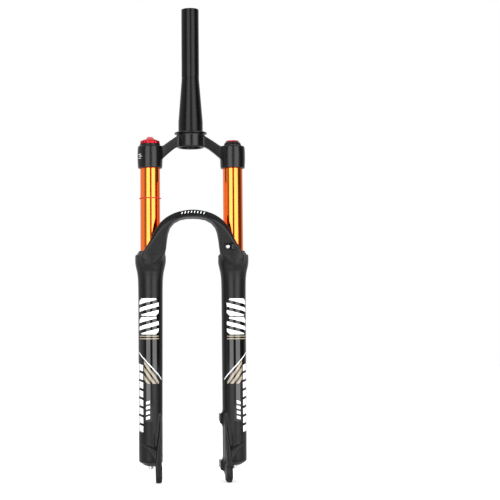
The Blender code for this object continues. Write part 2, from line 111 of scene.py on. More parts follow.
def hex_colour(text):
    """An sRGB hex value as linear red, green and blue."""
    values = [int(text[i:i + 2], 16) / 255 for i in (1, 3, 5)]
    return [v / 12.92 if v <= 0.04045 else ((v + 0.055) / 1.055) ** 2.4 for v in values]


def colour_setting(name, description, text):
    return FloatVectorProperty(
        name=name, description=description, default=hex_colour(text), subtype="COLOR", min=0, max=1,
    )


class ForkColours(bpy.types.PropertyGroup):
    """The finishes of the fork."""

    paint: colour_setting("Paint", "Satin paint of the lower legs", "#070808")
    anodised_black: colour_setting("Black anodising", "Crown, steerer and caps", "#050506")
    stanchion: colour_setting("Stanchions", "Gold anodising of the upper tubes", "#FF7B36")
    knob: colour_setting("Knob", "Red anodising of the lockout knob and valve cap", "#AA1C27")
    sag_ring: colour_setting("Sag ring", "Rubber ring on the damper stanchion", "#A8231A")
    graphic_white: colour_setting("White graphics", "Light panels on the legs", "#EEF0F2")
    graphic_tan: colour_setting("Tan graphics", "Bands across the legs", "#978B76")


class ForkSizes(bpy.types.PropertyGroup):
    """Detail sizes of the fork that the CAD frame leaves open."""

    voxel: FloatProperty(
        name="Casting detail", description="Cell size used to mesh the cast and forged pieces",
        default=0.0009, min=0.0005, max=0.003, subtype="DISTANCE", unit="LENGTH",
    )
    arch_blend: FloatProperty(
        name="Arch blend", description="Fillet between the arch and the collars",
        default=0.009, min=0.001, max=0.02, subtype="DISTANCE", unit="LENGTH",
    )
    film: FloatProperty(
        name="Film thickness", description="Thickness of the graphics' vinyl film",
        default=0.00012, min=0.00005, max=0.0005, subtype="DISTANCE", unit="LENGTH",
    )


def colours():
    return bpy.context.scene.fork_colours


def sizes():
    return bpy.context.scene.fork_sizes


# Materials ---------------------------------------------------------------------------------------

def add_node(tree, kind, inputs=None, **settings):
    """Adds one node; inputs maps each socket, by name, number or identifier, to a value or a feed."""
    made = tree.nodes.new(kind)
    for name, value in settings.items():
        setattr(made, name, value)
    for key, value in (inputs or {}).items():
        named = [s for s in made.inputs if s.identifier == key]
        socket = named[0] if named else made.inputs[key]
        if isinstance(value, bpy.types.NodeSocket):
            tree.links.new(value, socket)
        else:
            socket.default_value = value
    return made


def tinted(colour, factor):
    return (*[min(1.0, channel * factor) for channel in colour], 1)


DRIFT_MM = 1000 / 45  # the size of the slow patches of colour and gloss


def surface(name, colour, roughness, metallic=0.0, grain_mm=0.5, grain_depth=0.02, wear=0.15,
            rough_spread=0.08, stretch=(1, 1, 1), coat=0.0, ior=1.45, sheen=0.0, specular=0.5):
    """A finish with fine relief of grain_mm, slow colour drift and uneven gloss.

    grain_depth is the relief's height in millimetres. stretch draws the grain out along an axis.
    """
    if name in bpy.data.materials:
        return bpy.data.materials[name]
    material = bpy.data.materials.new(name)
    material.use_nodes = True
    tree = material.node_tree
    shader = tree.nodes["Principled BSDF"]
    place = add_node(tree, "ShaderNodeTexCoord")
    stretched = add_node(tree, "ShaderNodeMapping", {"Vector": place.outputs["Object"], "Scale": stretch})
    grain = add_node(tree, "ShaderNodeTexNoise", {
        "Vector": stretched.outputs["Vector"], "Scale": 1 / (grain_mm * MM), "Detail": 3.0,
        "Roughness": 0.55,
    })
    drift = add_node(tree, "ShaderNodeTexNoise", {
        "Vector": place.outputs["Object"], "Scale": 1 / (DRIFT_MM * MM), "Detail": 4.0, "Roughness": 0.6,
    })
    shade = add_node(tree, "ShaderNodeMix", {
        "Factor_Float": drift.outputs["Fac"], "A_Color": tinted(colour, 1 - wear),
        "B_Color": tinted(colour, 1 + wear),
    }, data_type="RGBA")
    mixed = next(s for s in shade.outputs if s.identifier == "Result_Color")
    gloss = add_node(tree, "ShaderNodeMapRange", {
        "Value": drift.outputs["Fac"], "From Min": 0.3, "From Max": 0.7,
        "To Min": max(0.02, roughness - rough_spread / 2), "To Max": roughness + rough_spread / 2,
    })
    relief = add_node(tree, "ShaderNodeBump", {
        "Height": grain.outputs["Fac"], "Strength": 1.0, "Distance": grain_depth * MM,
    })
    tree.links.new(mixed, shader.inputs["Base Color"])
    tree.links.new(gloss.outputs["Result"], shader.inputs["Roughness"])
    tree.links.new(relief.outputs["Normal"], shader.inputs["Normal"])
    constant = {"Metallic": metallic, "Coat Weight": coat, "Coat Roughness": 0.1, "Sheen Weight": sheen,
                "Specular IOR Level": specular}
    if metallic < 0.5:
        constant["IOR"] = ior
    for socket, value in constant.items():
        shader.inputs[socket].default_value = value
    return material


def satin_black_paint():
    """Satin powder coat over cast magnesium: broad soft highlights broken up by orange peel."""
    return surface("satin_powder_coat_black", colours().paint, 0.34, grain_mm=0.9, grain_depth=0.006,
                   wear=0.12, rough_spread=0.05, ior=1.5, specular=0.235)


def black_anodising():
    """Bead-blasted, black anodised aluminium: a little tighter gloss than paint."""
    return surface("bead_blasted_anodising_black", colours().anodised_black, 0.25, grain_mm=0.45,
                   grain_depth=0.002, wear=0.12, rough_spread=0.05, ior=1.5, specular=0.3)


def steerer_black():
    """Turned and black anodised aluminium tube: very fine rings from the lathe under the black."""
    return surface("turned_anodising_black", colours().anodised_black, 0.25, grain_mm=0.5,
                   grain_depth=0.001, wear=0.10, rough_spread=0.05, stretch=(0.08, 0.08, 1), ior=1.5,
                   specular=0.18)


def gold_anodising():
    """Polished, hard anodised stanchion: mirror-like gold with faint polishing lines round it."""
    return surface("polished_anodising_gold", colours().stanchion, 0.08, metallic=1.0, grain_mm=0.3,
                   grain_depth=0.00002, wear=0.03, rough_spread=0.03, stretch=(0.1, 0.1, 1))


def red_anodising():
    """Red anodised, machined aluminium: metallic red with machining marks."""
    return surface("machined_anodising_red", colours().knob, 0.3, metallic=0.85, grain_mm=0.35,
                   grain_depth=0.003, wear=0.12)


def bright_steel():
    """Zinc-plated steel: bright, faintly mottled."""
    return surface("zinc_plated_steel", hex_colour("#C9CBCD"), 0.24, metallic=1.0, grain_mm=0.4,
                   grain_depth=0.002, wear=0.08)


def plain_aluminium():
    """Turned bare aluminium: pale grey with fine turning rings."""
    return surface("turned_aluminium", hex_colour("#CFD0D2"), 0.32, metallic=1.0, grain_mm=0.3,
                   grain_depth=0.002, wear=0.06, stretch=(0.1, 0.1, 1))


def brass():
    """Turned brass valve stem: warm yellow, slightly dulled."""
    return surface("turned_brass", hex_colour("#B8924A"), 0.3, metallic=1.0, grain_mm=0.3,
                   grain_depth=0.002, wear=0.1)


def black_rubber():
    """Moulded nitrile rubber: deep black, matt, with a faint skin texture."""
    return surface("moulded_nitrile_black", hex_colour("#161616"), 0.55, grain_mm=0.5, grain_depth=0.01,
                   wear=0.15, sheen=0.1)


def red_rubber():
    """Moulded silicone ring: dull dark red."""
    return surface("moulded_silicone_red", colours().sag_ring, 0.5, grain_mm=0.5, grain_depth=0.006)


def foam():
    """Open-cell oiling foam: warm grey with visible cells."""
    return surface("open_cell_foam", hex_colour("#6B6459"), 0.95, grain_mm=0.8, grain_depth=0.25, wear=0.3)


def bushing_polymer():
    """Bearing liner of bronze-filled polymer: grey green and slightly waxy."""
    return surface("filled_polymer_liner", hex_colour("#7C8578"), 0.5, grain_mm=0.4, grain_depth=0.006)


SLOT_FINISHES = {
    "satin_black_paint": satin_black_paint,
    "black_anodised": black_anodising,
    "gold_anodised": gold_anodising,
    "red_anodised": red_anodising,
    "bright_steel": bright_steel,
    "plain_aluminium": plain_aluminium,
    "brass": brass,
    "black_rubber": black_rubber,
    "red_rubber": red_rubber,
    "foam": foam,
    "bushing_polymer": bushing_polymer,
}


def white_film():
    """Printed vinyl, white: satin, faintly uneven ink."""
    return surface("printed_vinyl_white", colours().graphic_white, 0.3, grain_mm=0.6, grain_depth=0.002,
                   wear=0.03, coat=0.3)


def tan_film():
    """Printed vinyl, tan bands with a drifting tint under a clear layer."""
    return surface("printed_vinyl_tan", colours().graphic_tan, 0.3, grain_mm=0.6, grain_depth=0.002,
                   wear=0.35, coat=0.5)


def clear_black_film():
    """Glossy clear film over the black paint: sharp reflections on a black ground."""
    return surface("gloss_vinyl_black", hex_colour("#020202"), 0.04, grain_mm=1.5, grain_depth=0.0006,
                   wear=0.1, rough_spread=0.02, ior=1.5)


# Mesh tools --------------------------------------------------------------------------------------

def add_piece(name, points, faces, material, body, nodes=(), sharp=35, normals=None):
    """Makes a mesh piece from points in millimetres, and rides it on its body."""
    mesh = bpy.data.meshes.new(name)
    mesh.from_pydata([tuple(c * MM for c in point) for point in points], [], faces)
    work = bmesh.new()
    work.from_mesh(mesh)
    bmesh.ops.recalc_face_normals(work, faces=work.faces)
    work.to_mesh(mesh)
    work.free()
    return add_mesh(name, mesh, material, body, nodes, sharp, normals)


def add_mesh(name, mesh, material, body, nodes=(), sharp=35, normals=None):
    mesh.shade_smooth()
    if normals is not None:
        mesh.normals_split_custom_set_from_vertices(normals)
    elif sharp:
        mesh.set_sharp_from_angle(angle=radians(sharp))
    mesh.materials.clear()
    mesh.materials.append(material)
    piece = bpy.data.objects.new(name, mesh)
    bpy.context.scene.collection.objects.link(piece)
    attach(piece, body)
    if nodes:
        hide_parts(*nodes)
    return piece


def filleted(profile, radius, steps=3, closed=True):
    """The profile with each corner rounded. Points may carry their own radius as a third value."""
    count = len(profile)
    rounded = []
    for i, point in enumerate(profile):
        here = Vector(point[:2])
        wanted = point[2] if len(point) > 2 else radius
        ends = not closed and i in (0, count - 1)
        if ends or wanted <= 0 or here.x == 0:
            rounded.append(tuple(here))
            continue
        before = Vector(profile[i - 1][:2]) - here
        after = Vector(profile[(i + 1) % count][:2]) - here
        if before.length < 1e-6 or after.length < 1e-6:
            rounded.append(tuple(here))
            continue
        turn = before.angle(after)
        if turn > radians(172):
            rounded.append(tuple(here))
            continue
        reach = min(wanted / max(0.05, np.tan(turn / 2)), 0.45 * before.length, 0.45 * after.length)
        first = here + before.normalized() * reach
        last = here + after.normalized() * reach
        for step in range(steps + 1):
            t = step / steps
            rounded.append(tuple(first * (1 - t) ** 2 + here * 2 * t * (1 - t) + last * t ** 2))
    return rounded


def turned_mesh(profile, centre=(0.0, 0.0, 0.0), facets=ROUND, axis="Z", shape=None):
    """Points and faces of a profile of (radius, height) turned round an axis through centre.

    A profile that starts and ends at radius 0 is a solid; any other closes on itself as a ring.
    shape(angle, radius, height) may change the radius, as for lobes.
    """
    solid = profile[0][0] == 0 and profile[-1][0] == 0
    points, rings = [], []
    for radius, height in profile:
        count = 1 if radius == 0 else facets
        rings.append(list(range(len(points), len(points) + count)))
        for step in range(count):
            angle = 2 * pi * step / facets
            out = shape(angle, radius, height) if shape and radius else radius
            across, along = out * cos(angle), out * sin(angle)
            if axis == "Z":
                offset = (across, along, height)
            elif axis == "Y":
                offset = (across, height, along)
            else:
                offset = (height, across, along)
            points.append(tuple(c + o for c, o in zip(centre, offset)))
    faces = []
    last = len(rings) - (1 if solid else 0)
    for i in range(last):
        low, high = rings[i], rings[(i + 1) % len(rings)]
        for step in range(facets):
            after = (step + 1) % facets
            if len(low) == 1 and len(high) == 1:
                continue
            if len(low) == 1:
                faces.append((low[0], high[step], high[after]))
            elif len(high) == 1:
                faces.append((low[step], high[0], low[after]))
            else:
                faces.append((low[step], high[step], high[after], low[after]))
    return points, faces


def add_turned(name, profile, node, slot, body, centre=(0.0, 0.0, 0.0), radius=0.4, facets=ROUND,
               axis="Z", shape=None, sharp=35, material=None):
    """A turned piece in a CAD node's place, in its slot's finish unless a material is given."""
    closed = not (profile[0][0] == 0 and profile[-1][0] == 0)
    points, faces = turned_mesh(filleted(profile, radius, closed=closed), centre, facets, axis, shape)
    material = material or SLOT_FINISHES[slot]()
    return add_piece(name, points, faces, material, body, (node,), sharp)


# Distance fields ---------------------------------------------------------------------------------

def join(a, b, blend):
    """The union of two fields with a fillet of about blend millimetres."""
    share = np.clip(0.5 + 0.5 * (b - a) / blend, 0, 1)
    return b * (1 - share) + a * share - blend * share * (1 - share)


def cut(a, b, blend=0.6):
    """Field a without field b, its new edges eased by about blend millimetres."""
    return -join(-a, b, blend)


def common(a, b, blend):
    return -join(-a, -b, blend)


def away_from(u, v, centre):
    """The distance in a plane from each (u, v) to a centre."""
    return np.sqrt((u - centre[0]) ** 2 + (v - centre[1]) ** 2)


def outside(u, low, high):
    """How far each u is outside a band, negative within it."""
    return np.maximum(low - u, u - high)


def along(stations, values):
    """A value that changes over distance, read from (distance, value) stations."""
    return np.interp(values, [s[0] for s in stations], [s[1] for s in stations]).astype(np.float32)


class Block:
    """A grid of points over a box, in millimetres, for building one field."""

    def __init__(self, low, high, cell):
        self.low, self.cell = np.array(low, float), cell
        counts = [int(round((b - a) / cell)) + 1 for a, b in zip(low, high)]
        axes = [low[i] + cell * np.arange(counts[i], dtype=np.float32) for i in range(3)]
        self.x = axes[0][:, None, None].astype(np.float32)
        self.y = axes[1][None, :, None].astype(np.float32)
        self.z = axes[2][None, None, :].astype(np.float32)
        self.counts = counts

    def sampled(self, field, points):
        """The field at each point, between the grid's own values."""
        place = (points - self.low) / self.cell
        limit = np.array(self.counts) - 1.001
        place = np.clip(place, 0, limit)
        base = np.floor(place).astype(int)
        part = place - base
        value = np.zeros(len(points))
        for corner in range(8):
            step = np.array([corner & 1, corner >> 1 & 1, corner >> 2 & 1])
            weight = np.prod(np.where(step, part, 1 - part), axis=1)
            at = base + step
            value += weight * field[at[:, 0], at[:, 1], at[:, 2]]
        return value

    def slope(self, field, points, reach=0.8):
        found = np.zeros((len(points), 3))
        for axis in range(3):
            step = np.zeros(3)
            step[axis] = reach * self.cell
            found[:, axis] = self.sampled(field, points + step) - self.sampled(field, points - step)
        length = np.linalg.norm(found, axis=1, keepdims=True)
        return found / np.maximum(length, 1e-9)

    def meshed(self, field, keep=1.0):
        """The field's surface as a mesh, drawn close onto it, with the share keep of its triangles."""
        grid = openvdb.FloatGrid(background=3 * self.cell)
        grid.copyFromArray(np.clip(field, -3 * self.cell, 3 * self.cell).astype(np.float32))
        points, triangles, quads = grid.convertToPolygons(isovalue=0.0, adaptivity=0.0)
        points = points.astype(float) * self.cell + self.low
        for _ in range(2):
            points = points - self.slope(field, points) * self.sampled(field, points)[:, None]
        mesh = bpy.data.meshes.new("block")
        faces = [tuple(f) for f in triangles] + [tuple(f) for f in quads]
        mesh.from_pydata(points.tolist(), [], faces)
        if keep < 1:
            mesh = reduced(mesh, keep)
        return mesh


def reduced(mesh, keep):
    """The mesh with its flattest faces merged, down to that share of its triangles."""
    holder = bpy.data.objects.new("holder", mesh)
    bpy.context.scene.collection.objects.link(holder)
    fewer = holder.modifiers.new("fewer", "DECIMATE")
    fewer.ratio = keep
    graph = bpy.context.evaluated_depsgraph_get()
    made = bpy.data.meshes.new_from_object(holder.evaluated_get(graph))
    bpy.data.objects.remove(holder)
    return made


def polygon_distance(u, v, outline):
    """Signed distance from each (u, v) to a closed outline, negative inside it."""
    best = np.full(np.broadcast(u, v).shape, 1e9, np.float32)
    inside = np.zeros(best.shape, bool)
    count = len(outline)
    for i in range(count):
        (au, av), (bu, bv) = outline[i], outline[(i + 1) % count]
        du, dv = bu - au, bv - av
        length = du * du + dv * dv
        if length == 0:
            continue
        t = np.clip(((u - au) * du + (v - av) * dv) / length, 0, 1)
        best = np.minimum(best, (u - au - t * du) ** 2 + (v - av - t * dv) ** 2)
        crosses = (av > v) != (bv > v)
        if dv:
            inside ^= crosses & (u < (v - av) * du / dv + au)
    distance = np.sqrt(best)
    return np.where(inside, -distance, distance)


def from_leg(block):
    """The distance from the axis of the nearer leg."""
    return away_from(np.abs(block.x), block.y, (LEG_X, LEG_Y))


def barrel_field(block, away):
    """The turned outside of a leg, from its foot to its collar."""
    return away - np.interp(block.z, BARREL_Z, BARREL_R).astype(np.float32)


def box_field(block, low, high, blend):
    across = common(outside(block.x, low[0], high[0]), outside(block.y, low[1], high[1]), blend)
    return common(across, outside(block.z, low[2], high[2]), blend)


# Crown and steerer -------------------------------------------------------------------------------

def make_steerer():
    """The tapered steerer, with a faint step line where the taper starts."""
    top = node_box("steerer_tube")[1].z
    profile = [
        (12.2, top, 0.5), (14.3, top, 0.5), (14.3, 91.4, 0), (14.18, 91.1, 0), (14.18, 90.5, 0),
        (14.3, 90.2, 0), (14.35, 86.0, 3.0), (19.9, 17.0, 8.0), (19.9, -0.7, 0.2), (19.0, -0.7, 0),
        (19.0, -24.0, 0.5), (16.4, -24.0, 0.5), (16.4, 12.0, 0), (12.2, 84.0, 0),
    ]
    add_turned("steerer_tube_skin", profile, "steerer_tube", "satin_black_paint", "uppers",
               material=steerer_black())


# Crown: half outlines across and up, and depths at distances from the middle.
CROWN_TOP_EDGE = [
    (0, -3.5), (8, -3.5), (18, -4.6), (23, -7.0), (36, -16.5), (46, -24.4), (52, -26.6), (58, -27),
]
CROWN_LOW_EDGE = [(58, -55), (46, -45.5), (36, -36), (28, -29.0), (22, -25.2), (8, -23), (0, -23)]
CROWN_FRONTS = ((0, -11.0), (8, -11.0), (20, -12.0), (46, -25.5), (58, -30.0))
CROWN_REARS = ((0, 17.5), (8, 17.5), (22, 13.0), (36, 4.5), (46, -2.0), (58, -3.0))
SEAT_BOTTOM = -25.0
SEAT_RADII = (  # height, radius
    (-25.0, 21.2), (-24.9, 21.4), (-23.4, 23.0), (-6.0, 22.8), (-3.6, 23.6), (-2.6, 26.5), (-0.6, 26.5),
    (-0.2, 26.0), (0.0, 25.6),
)
STEERER_BORE = 19.3
LUG_TOP, LUG_BOTTOM = -24.6, -61.0
LUG_RADII = (
    (-61.0, 19.0), (-60.2, 19.4), (-57.0, 19.8), (-48.0, 20.2), (-36.0, 20.2), (-29.0, 19.9),
    (-26.4, 19.6), (-25.2, 18.9), (-24.6, 18.0),
)
LUG_BORE = 16.3


def crown_field(block):
    """Race seat, boss, two flat-faced arms and two bored lugs, with forged fillets.

    The arms' fronts and rears slant, so their depths are scaled to true distances.
    """
    out = np.abs(block.x)
    outline = polygon_distance(out, block.z, CROWN_TOP_EDGE + CROWN_LOW_EDGE)
    front = (along(CROWN_FRONTS, out) - block.y) * 0.82
    rear = (block.y - along(CROWN_REARS, out)) * 0.86
    draft = 0.1 * np.maximum(block.y - along(CROWN_FRONTS, out), 0)
    arms = common(outline + draft, common(front, rear, 1.0), 1.3)
    middle = away_from(block.x, block.y, (0, 0))
    radius = along(SEAT_RADII, block.z)
    seat = (middle - radius) / np.sqrt(1 + np.gradient(radius, block.cell, axis=2) ** 2)
    seat = common(seat, outside(block.z, SEAT_BOTTOM, 0.0), 0.4)
    shape = join(arms, seat, 1.0)
    away = from_leg(block)
    lug = common(away - along(LUG_RADII, block.z), outside(block.z, LUG_BOTTOM, LUG_TOP), 0.5)
    shape = join(shape, lug, 2.5)
    shape = cut(shape, away - LUG_BORE, 0.5)
    shape = cut(shape, middle - STEERER_BORE, 0.5)
    return cut(shape, np.maximum(middle - STEERER_BORE - 0.9, -1.0 - block.z), 0.3)


def casting_cell():
    return sizes().voxel / MM * 1.0


def cast_piece(name, block, field, material, body, nodes, keep):
    mesh = block.meshed(field, keep)
    points = np.array([v.co for v in mesh.vertices], float)
    normals = block.slope(field, points)
    mesh.vertices.foreach_set("co", (points * MM).astype(np.float32).ravel())
    mesh.update()
    return add_mesh(name, mesh, material, body, nodes, normals=normals.tolist())


def make_crown():
    """The forged crown, with its printed dashes."""
    block = Block((-90.0, -40.0, -64.0), (90.0, 29.0, 3.0), casting_cell())
    cast_piece("crown_forging", block, crown_field(block), black_anodising(), "uppers", ("crown",),
               0.35)
    add_marks()


def add_marks():
    """Three short pad-printed dashes on the outer side of the damper lug."""
    for i, left in enumerate((-68.0, -62.0, -68.0)):
        low = -39.6 - 3.2 * i
        dash = patch(left, left + 20.0, low, low + 0.8)
        add_film(f"crown_dash_{i + 1}", "damper", [dash], white_film(), "uppers", lambda z: 20.2, 0.02)


# Stanchions and top caps -------------------------------------------------------------------------

def make_stanchions():
    """The two gold tubes, and a plain scale of short ticks on the damper's."""
    for side in SIDES:
        low, high = node_box(f"{side}_stanchion")
        profile = [
            (14.0, low.z, 0.3), (STANCHION_RADIUS, low.z, 1.0), (STANCHION_RADIUS, high.z, 0.5),
            (14.0, high.z, 0.3),
        ]
        add_turned(f"{side}_stanchion_tube", profile, f"{side}_stanchion", "gold_anodised", "uppers",
                   leg_axis(side))
    for i in range(9):
        low = -128.0 - 9.0 * i
        wide = 9.0 if i % 2 else 5.0
        tick = patch(-62.0 - wide, -62.0, low, low + 0.7)
        add_film(f"travel_tick_{i + 1}", "damper", [tick], satin_black_paint(), "uppers",
                 lambda z: STANCHION_RADIUS, 0.01, thickness=0.03)


def make_top_caps():
    """The flanged plugs in the lugs, and the red cap on the air valve."""
    top = node_box("damper_top_cap")[1].z
    cap = [(3.4, -45.0), (13.7, -45.0), (13.7, -24.3), (16.6, -24.3), (16.6, top), (3.4, top)]
    add_turned("damper_cap", cap, "damper_top_cap", "black_anodised", "uppers", leg_axis("damper"))
    cap = [(4.4, -42.0), (13.7, -42.0), (13.7, -24.3), (14.6, -24.3), (14.5, -22.6, 1.5),
           (13.2, -20.0, 2.0), (11.6, -18.1, 0.6), (4.4, -18.1)]
    add_turned("air_cap", cap, "air_top_cap", "black_anodised", "uppers", leg_axis("air"),
               shape=flats(13.6, 6, -23.6, -18.3))
    base = node_box("air_valve_cap")[0].z

    def lobed(angle, radius, height):
        grip = 0.55 * (1 + cos(7 * angle + 0.6)) if 8.0 < radius else 0.0
        return radius - grip

    valve_cap = [(0, base + 1.8, 0), (4.4, base + 1.8, 0.2), (4.4, base, 0.2), (10.6, base, 0.2),
                 (11.0, base + 0.5, 0.2), (10.9, base + 1.3, 0.4), (9.4, base + 2.3, 0.8),
                 (5.0, base + 2.8, 0.5), (0, base + 2.9, 0)]
    add_turned("air_valve_cap_red", valve_cap, "air_valve_cap", "red_anodised", "uppers", leg_axis("air"),
               shape=lobed)


def flats(across, count, low, high):
    """A shape for turned_mesh: flats milled round a flange for a spanner."""
    def milled(angle, out, height):
        if out < across or not low < height < high:
            return out
        sector = (angle + pi / count) % (2 * pi / count) - pi / count
        return min(out, across / cos(sector))
    return milled


KNOB_DOME = (  # distance from the middle, height
    (0, 9.6), (3.0, 9.3), (6.0, 8.4), (10.5, 7.0), (14.0, 5.6), (16.1, 4.2), (17.0, 3.2),
)
KNOB_RIDGE = [
    (-12.6, 4.0), (-9.0, 8.6), (-4.0, 11.4), (4.0, 11.4), (9.0, 8.6), (12.6, 4.0), (9.0, 3.0), (-9.0, 3.0),
]


def make_lockout():
    """The red knob: a cone-sided dome with a notched rim and a finger ridge from front to back."""
    x, y, _ = leg_axis("damper")
    base = node_box("lockout_knob")[0].z
    cell = 0.45 * 1.0
    block = Block((x - 18.0, y - 18.0, base - 1.5), (x + 18.0, y + 18.0, base + 14.5), cell)
    away = away_from(block.x, block.y, (x, y))
    angle = np.arctan2(block.y - y, block.x - x)
    body = common((block.z - base - along(KNOB_DOME, away)) * 0.9, base - block.z, 0.5)
    rim = away - 16.0 + 0.5 * (0.5 + 0.5 * np.cos(12 * angle)) ** 2
    body = common(body, rim.astype(np.float32), 1.2)
    ridge = polygon_distance(block.y - y, block.z - base, KNOB_RIDGE)
    ridge = common(ridge, np.abs(block.x - x) - 4.5, 2.4)
    shape = join(body, ridge, 4.0)
    shape = cut(shape, np.maximum(away - 2.2, base + 7.0 - block.z), 0.3)
    cast_piece("lockout_knob_red", block, shape, red_anodising(), "lockout", ("lockout_knob",),
               0.4)


def make_sag_ring():
    """The rubber ring, a little oval in section."""
    low, high = node_box("sag_ring")
    mid, half = (low.z + high.z) / 2, (high.z - low.z) / 2
    profile = [(16.25 + 0.675 * (1 + cos(a)), mid + half * sin(a))
               for a in [2 * pi * i / 14 for i in range(14)]]
    add_turned("sag_ring_rubber", profile, "sag_ring", "red_rubber", "ring", leg_axis("damper"), 0)


# Lower legs --------------------------------------------------------------------------------------

# Arch: half outlines across and up, and depths, bevels and reaches at heights.
ARCH_OUTER = [
    (0, -129.8), (8, -130.2), (15, -131.3), (23, -133.0), (30, -135.4), (36, -138.2), (42, -141.8),
    (47, -145.8), (52, -150.6), (56, -156.0), (59.5, -162.0), (63, -168.5), (66, -174.5),
    (69.5, -180.5), (73, -186.5), (76.5, -193.0), (79.5, -199.0), (81.0, -204.0), (80.5, -209.0),
    (77.0, -214.0), (70, -218.0),
]
ARCH_INNER = [
    (62, -218.0), (54, -214.5), (47.5, -209.5), (44.0, -203.0), (41.9, -192.0),
    (40.3, -179.0), (38.4, -168.0), (35.4, -159.5), (29.2, -152.0), (20, -147.0), (10, -145.0),
    (0, -144.6),
]
ARCH_FRONTS = ((-262, -30.0), (-222, -38.0), (-216, -40.6), (-210, -41.9), (-204, -42.7), (-199, -43.7),
               (-186, -46.2), (-174.5, -49.0), (-161.5, -51.4), (-149.8, -53.4), (-141, -55.0),
               (-135, -56.0), (-129.8, -56.8))
ARCH_REARS = ((-262, -17.0), (-214, -22.0), (-204, -30.0), (-200, -35.0), (-192, -38.6), (-129.8, -38.6))
ARCH_BEVELS = ((-225, 0.5), (-200, 0.8), (-185, 1.8), (-165, 3.2), (-150, 5.0), (-141, 6.0), (-130, 6.0))
ARCH_REACHES = ((-217, 23.6), (-211, 25.2), (-206, 28.5), (-201, 33.5), (-195, 40.0), (-185, 60.0),
                (-165, 150.0))
ARCH_DRAFTS = ((-200, 0.31), (-165, 0.30), (-150, 0.23), (-130, 0.194))
BARREL_Z = (-534.5, -533.9, -528.4, -526.4, -262.0, -254.0, -246.0, -240.0, -235.0, -228.0, -222.0,
            -217.0, -212.0, -202.4, -201.0, -200.0)
BARREL_R = (9.0, 10.5, 18.6, 19.1, 19.5, 19.6, 19.75, 19.95, 20.35, 21.3, 22.7, 23.8, 24.4, 24.4, 24.0,
            23.0)
BORES = ((21.4, -200.3, 0.5), (20.8, -225.0, 0.4), (17.4, -520.5, 0.3))  # radius, floor, eased edge
COLLAR_TOP = -200.0
TOP_CUT = -264.0  # the plain barrels run between these two heights
FOOT_CUT = -440.0


def leg_radius(z):
    return float(np.interp(z, BARREL_Z, BARREL_R))


def bored(block, shape, away):
    """The stepped bore of one leg: lip, wiper pocket, bushing bore and the hole in the foot."""
    for radius, floor, ease in BORES:
        shape = cut(shape, np.maximum(away - radius, floor - block.z), ease)
    return cut(shape, away - 3.6, 0.3)


def arch_field(block):
    """Collars, the tops of the legs and the bridge between them, as one casting."""
    out = np.abs(block.x)
    away = from_leg(block)
    collar = common(barrel_field(block, away), block.z - COLLAR_TOP, 0.6)
    outer = polygon_distance(out, block.z, ARCH_OUTER + [(-60, -226.0), (-60, -129.8)])
    hole = polygon_distance(out, block.z, ARCH_INNER + [(-80, -144.6), (-80, -300.0), (60, -300.0)])
    front = (along(ARCH_FRONTS, block.z) - block.y) * 0.97
    rear = block.y - along(ARCH_REARS, block.z)
    draft = along(ARCH_DRAFTS, block.z)
    set_back = draft * np.maximum(along(ARCH_REARS, block.z) - block.y, 0)
    wall = (set_back - hole) / np.sqrt(1 + draft ** 2)
    bevel = 0.84 * front + 0.54 * outer + along(ARCH_BEVELS, block.z)
    faces = common(common(front, bevel, 1.2), rear, 1.6)
    arch = common(common(outer, faces, 1.6), wall, 1.4)
    arch = common(arch, away - along(ARCH_REACHES, block.z), 1.0)
    shape = join(arch, collar, sizes().arch_blend / MM)
    return bored(block, shape, away)


DROPOUT_OUTLINE = [  # ahead of the leg's axis and above the axle
    (15.0, 92), (18.2, 74), (20.0, 58), (23.4, 46), (27.4, 34), (31.6, 22), (36.0, 11), (39.6, 3.0),
    (41.3, -2), (41.3, -6), (38.5, -10.5), (30, -14.5), (24.5, -15.3), (18.5, -13.5), (12.5, -9),
    (6.5, -2), (1, 6), (-6, 14), (-8, 30), (0, 74),
]
DROPOUT_FACES = ((-20, 60.0), (20, 60.0), (40, 57.5), (60, 54.5), (92, 51.8))
SLOT_TILT = radians(25)
SLOT_HALF_WIDTH = 4.75
HUB_RECESS, LIP_RADIUS = 11.0, 13.2
POST_HEIGHTS = (-461.5, -535.7)
POST_HALF_HEIGHT = 6.4
POST_THREAD = 2.6
GUSSET_OUTLINE = [  # across and up, on the air leg
    (52.0, -488.0), (79.0, -494.0), (78.0, -502.0), (72.5, -508.0), (67.0, -513.5), (63.0, -519.5),
    (60.0, -526.0), (58.5, -534.0), (52.0, -536.0),
]
GUSSET_FRONTS = ((-536, -50.0), (-520, -44.0), (-508, -39.8), (-498, -38.4))
LEDGE_HEIGHTS = ((56, 5.4), (62, 5.0), (70, 2.8), (77.5, 0.3))
CREASE_OUTLINE = [(62.6, -503.0), (61.6, -480.0), (60.2, -492.0), (59.8, -503.0)]


def post_field(block, height):
    """One square-ended brake post; its long fillets come from how it is joined."""
    low = (44.0, -20.0, height - POST_HALF_HEIGHT)
    return box_field(block, low, (58.0, 17.5, height + POST_HALF_HEIGHT), 1.2)


def gusset_field(block):
    """The gusset that runs from the leg's front into the dropout, below a sloping ledge."""
    fade = along(((60, 0.0), (70, 0.4), (78, 4.0)), block.x)
    front = along(GUSSET_FRONTS, block.z) + fade - block.y
    ledge_top = -502.4 + 0.206 * (block.x - 64.0)
    lean = along(LEDGE_HEIGHTS, block.x) / 4.0
    ledge = (block.z - ledge_top + (-35.4 - block.y) * lean) / np.sqrt(1 + lean ** 2)
    outline = polygon_distance(block.x, block.z, GUSSET_OUTLINE)
    return np.maximum(np.maximum(outline, block.y + 22.0), common(front, ledge, 0.4))


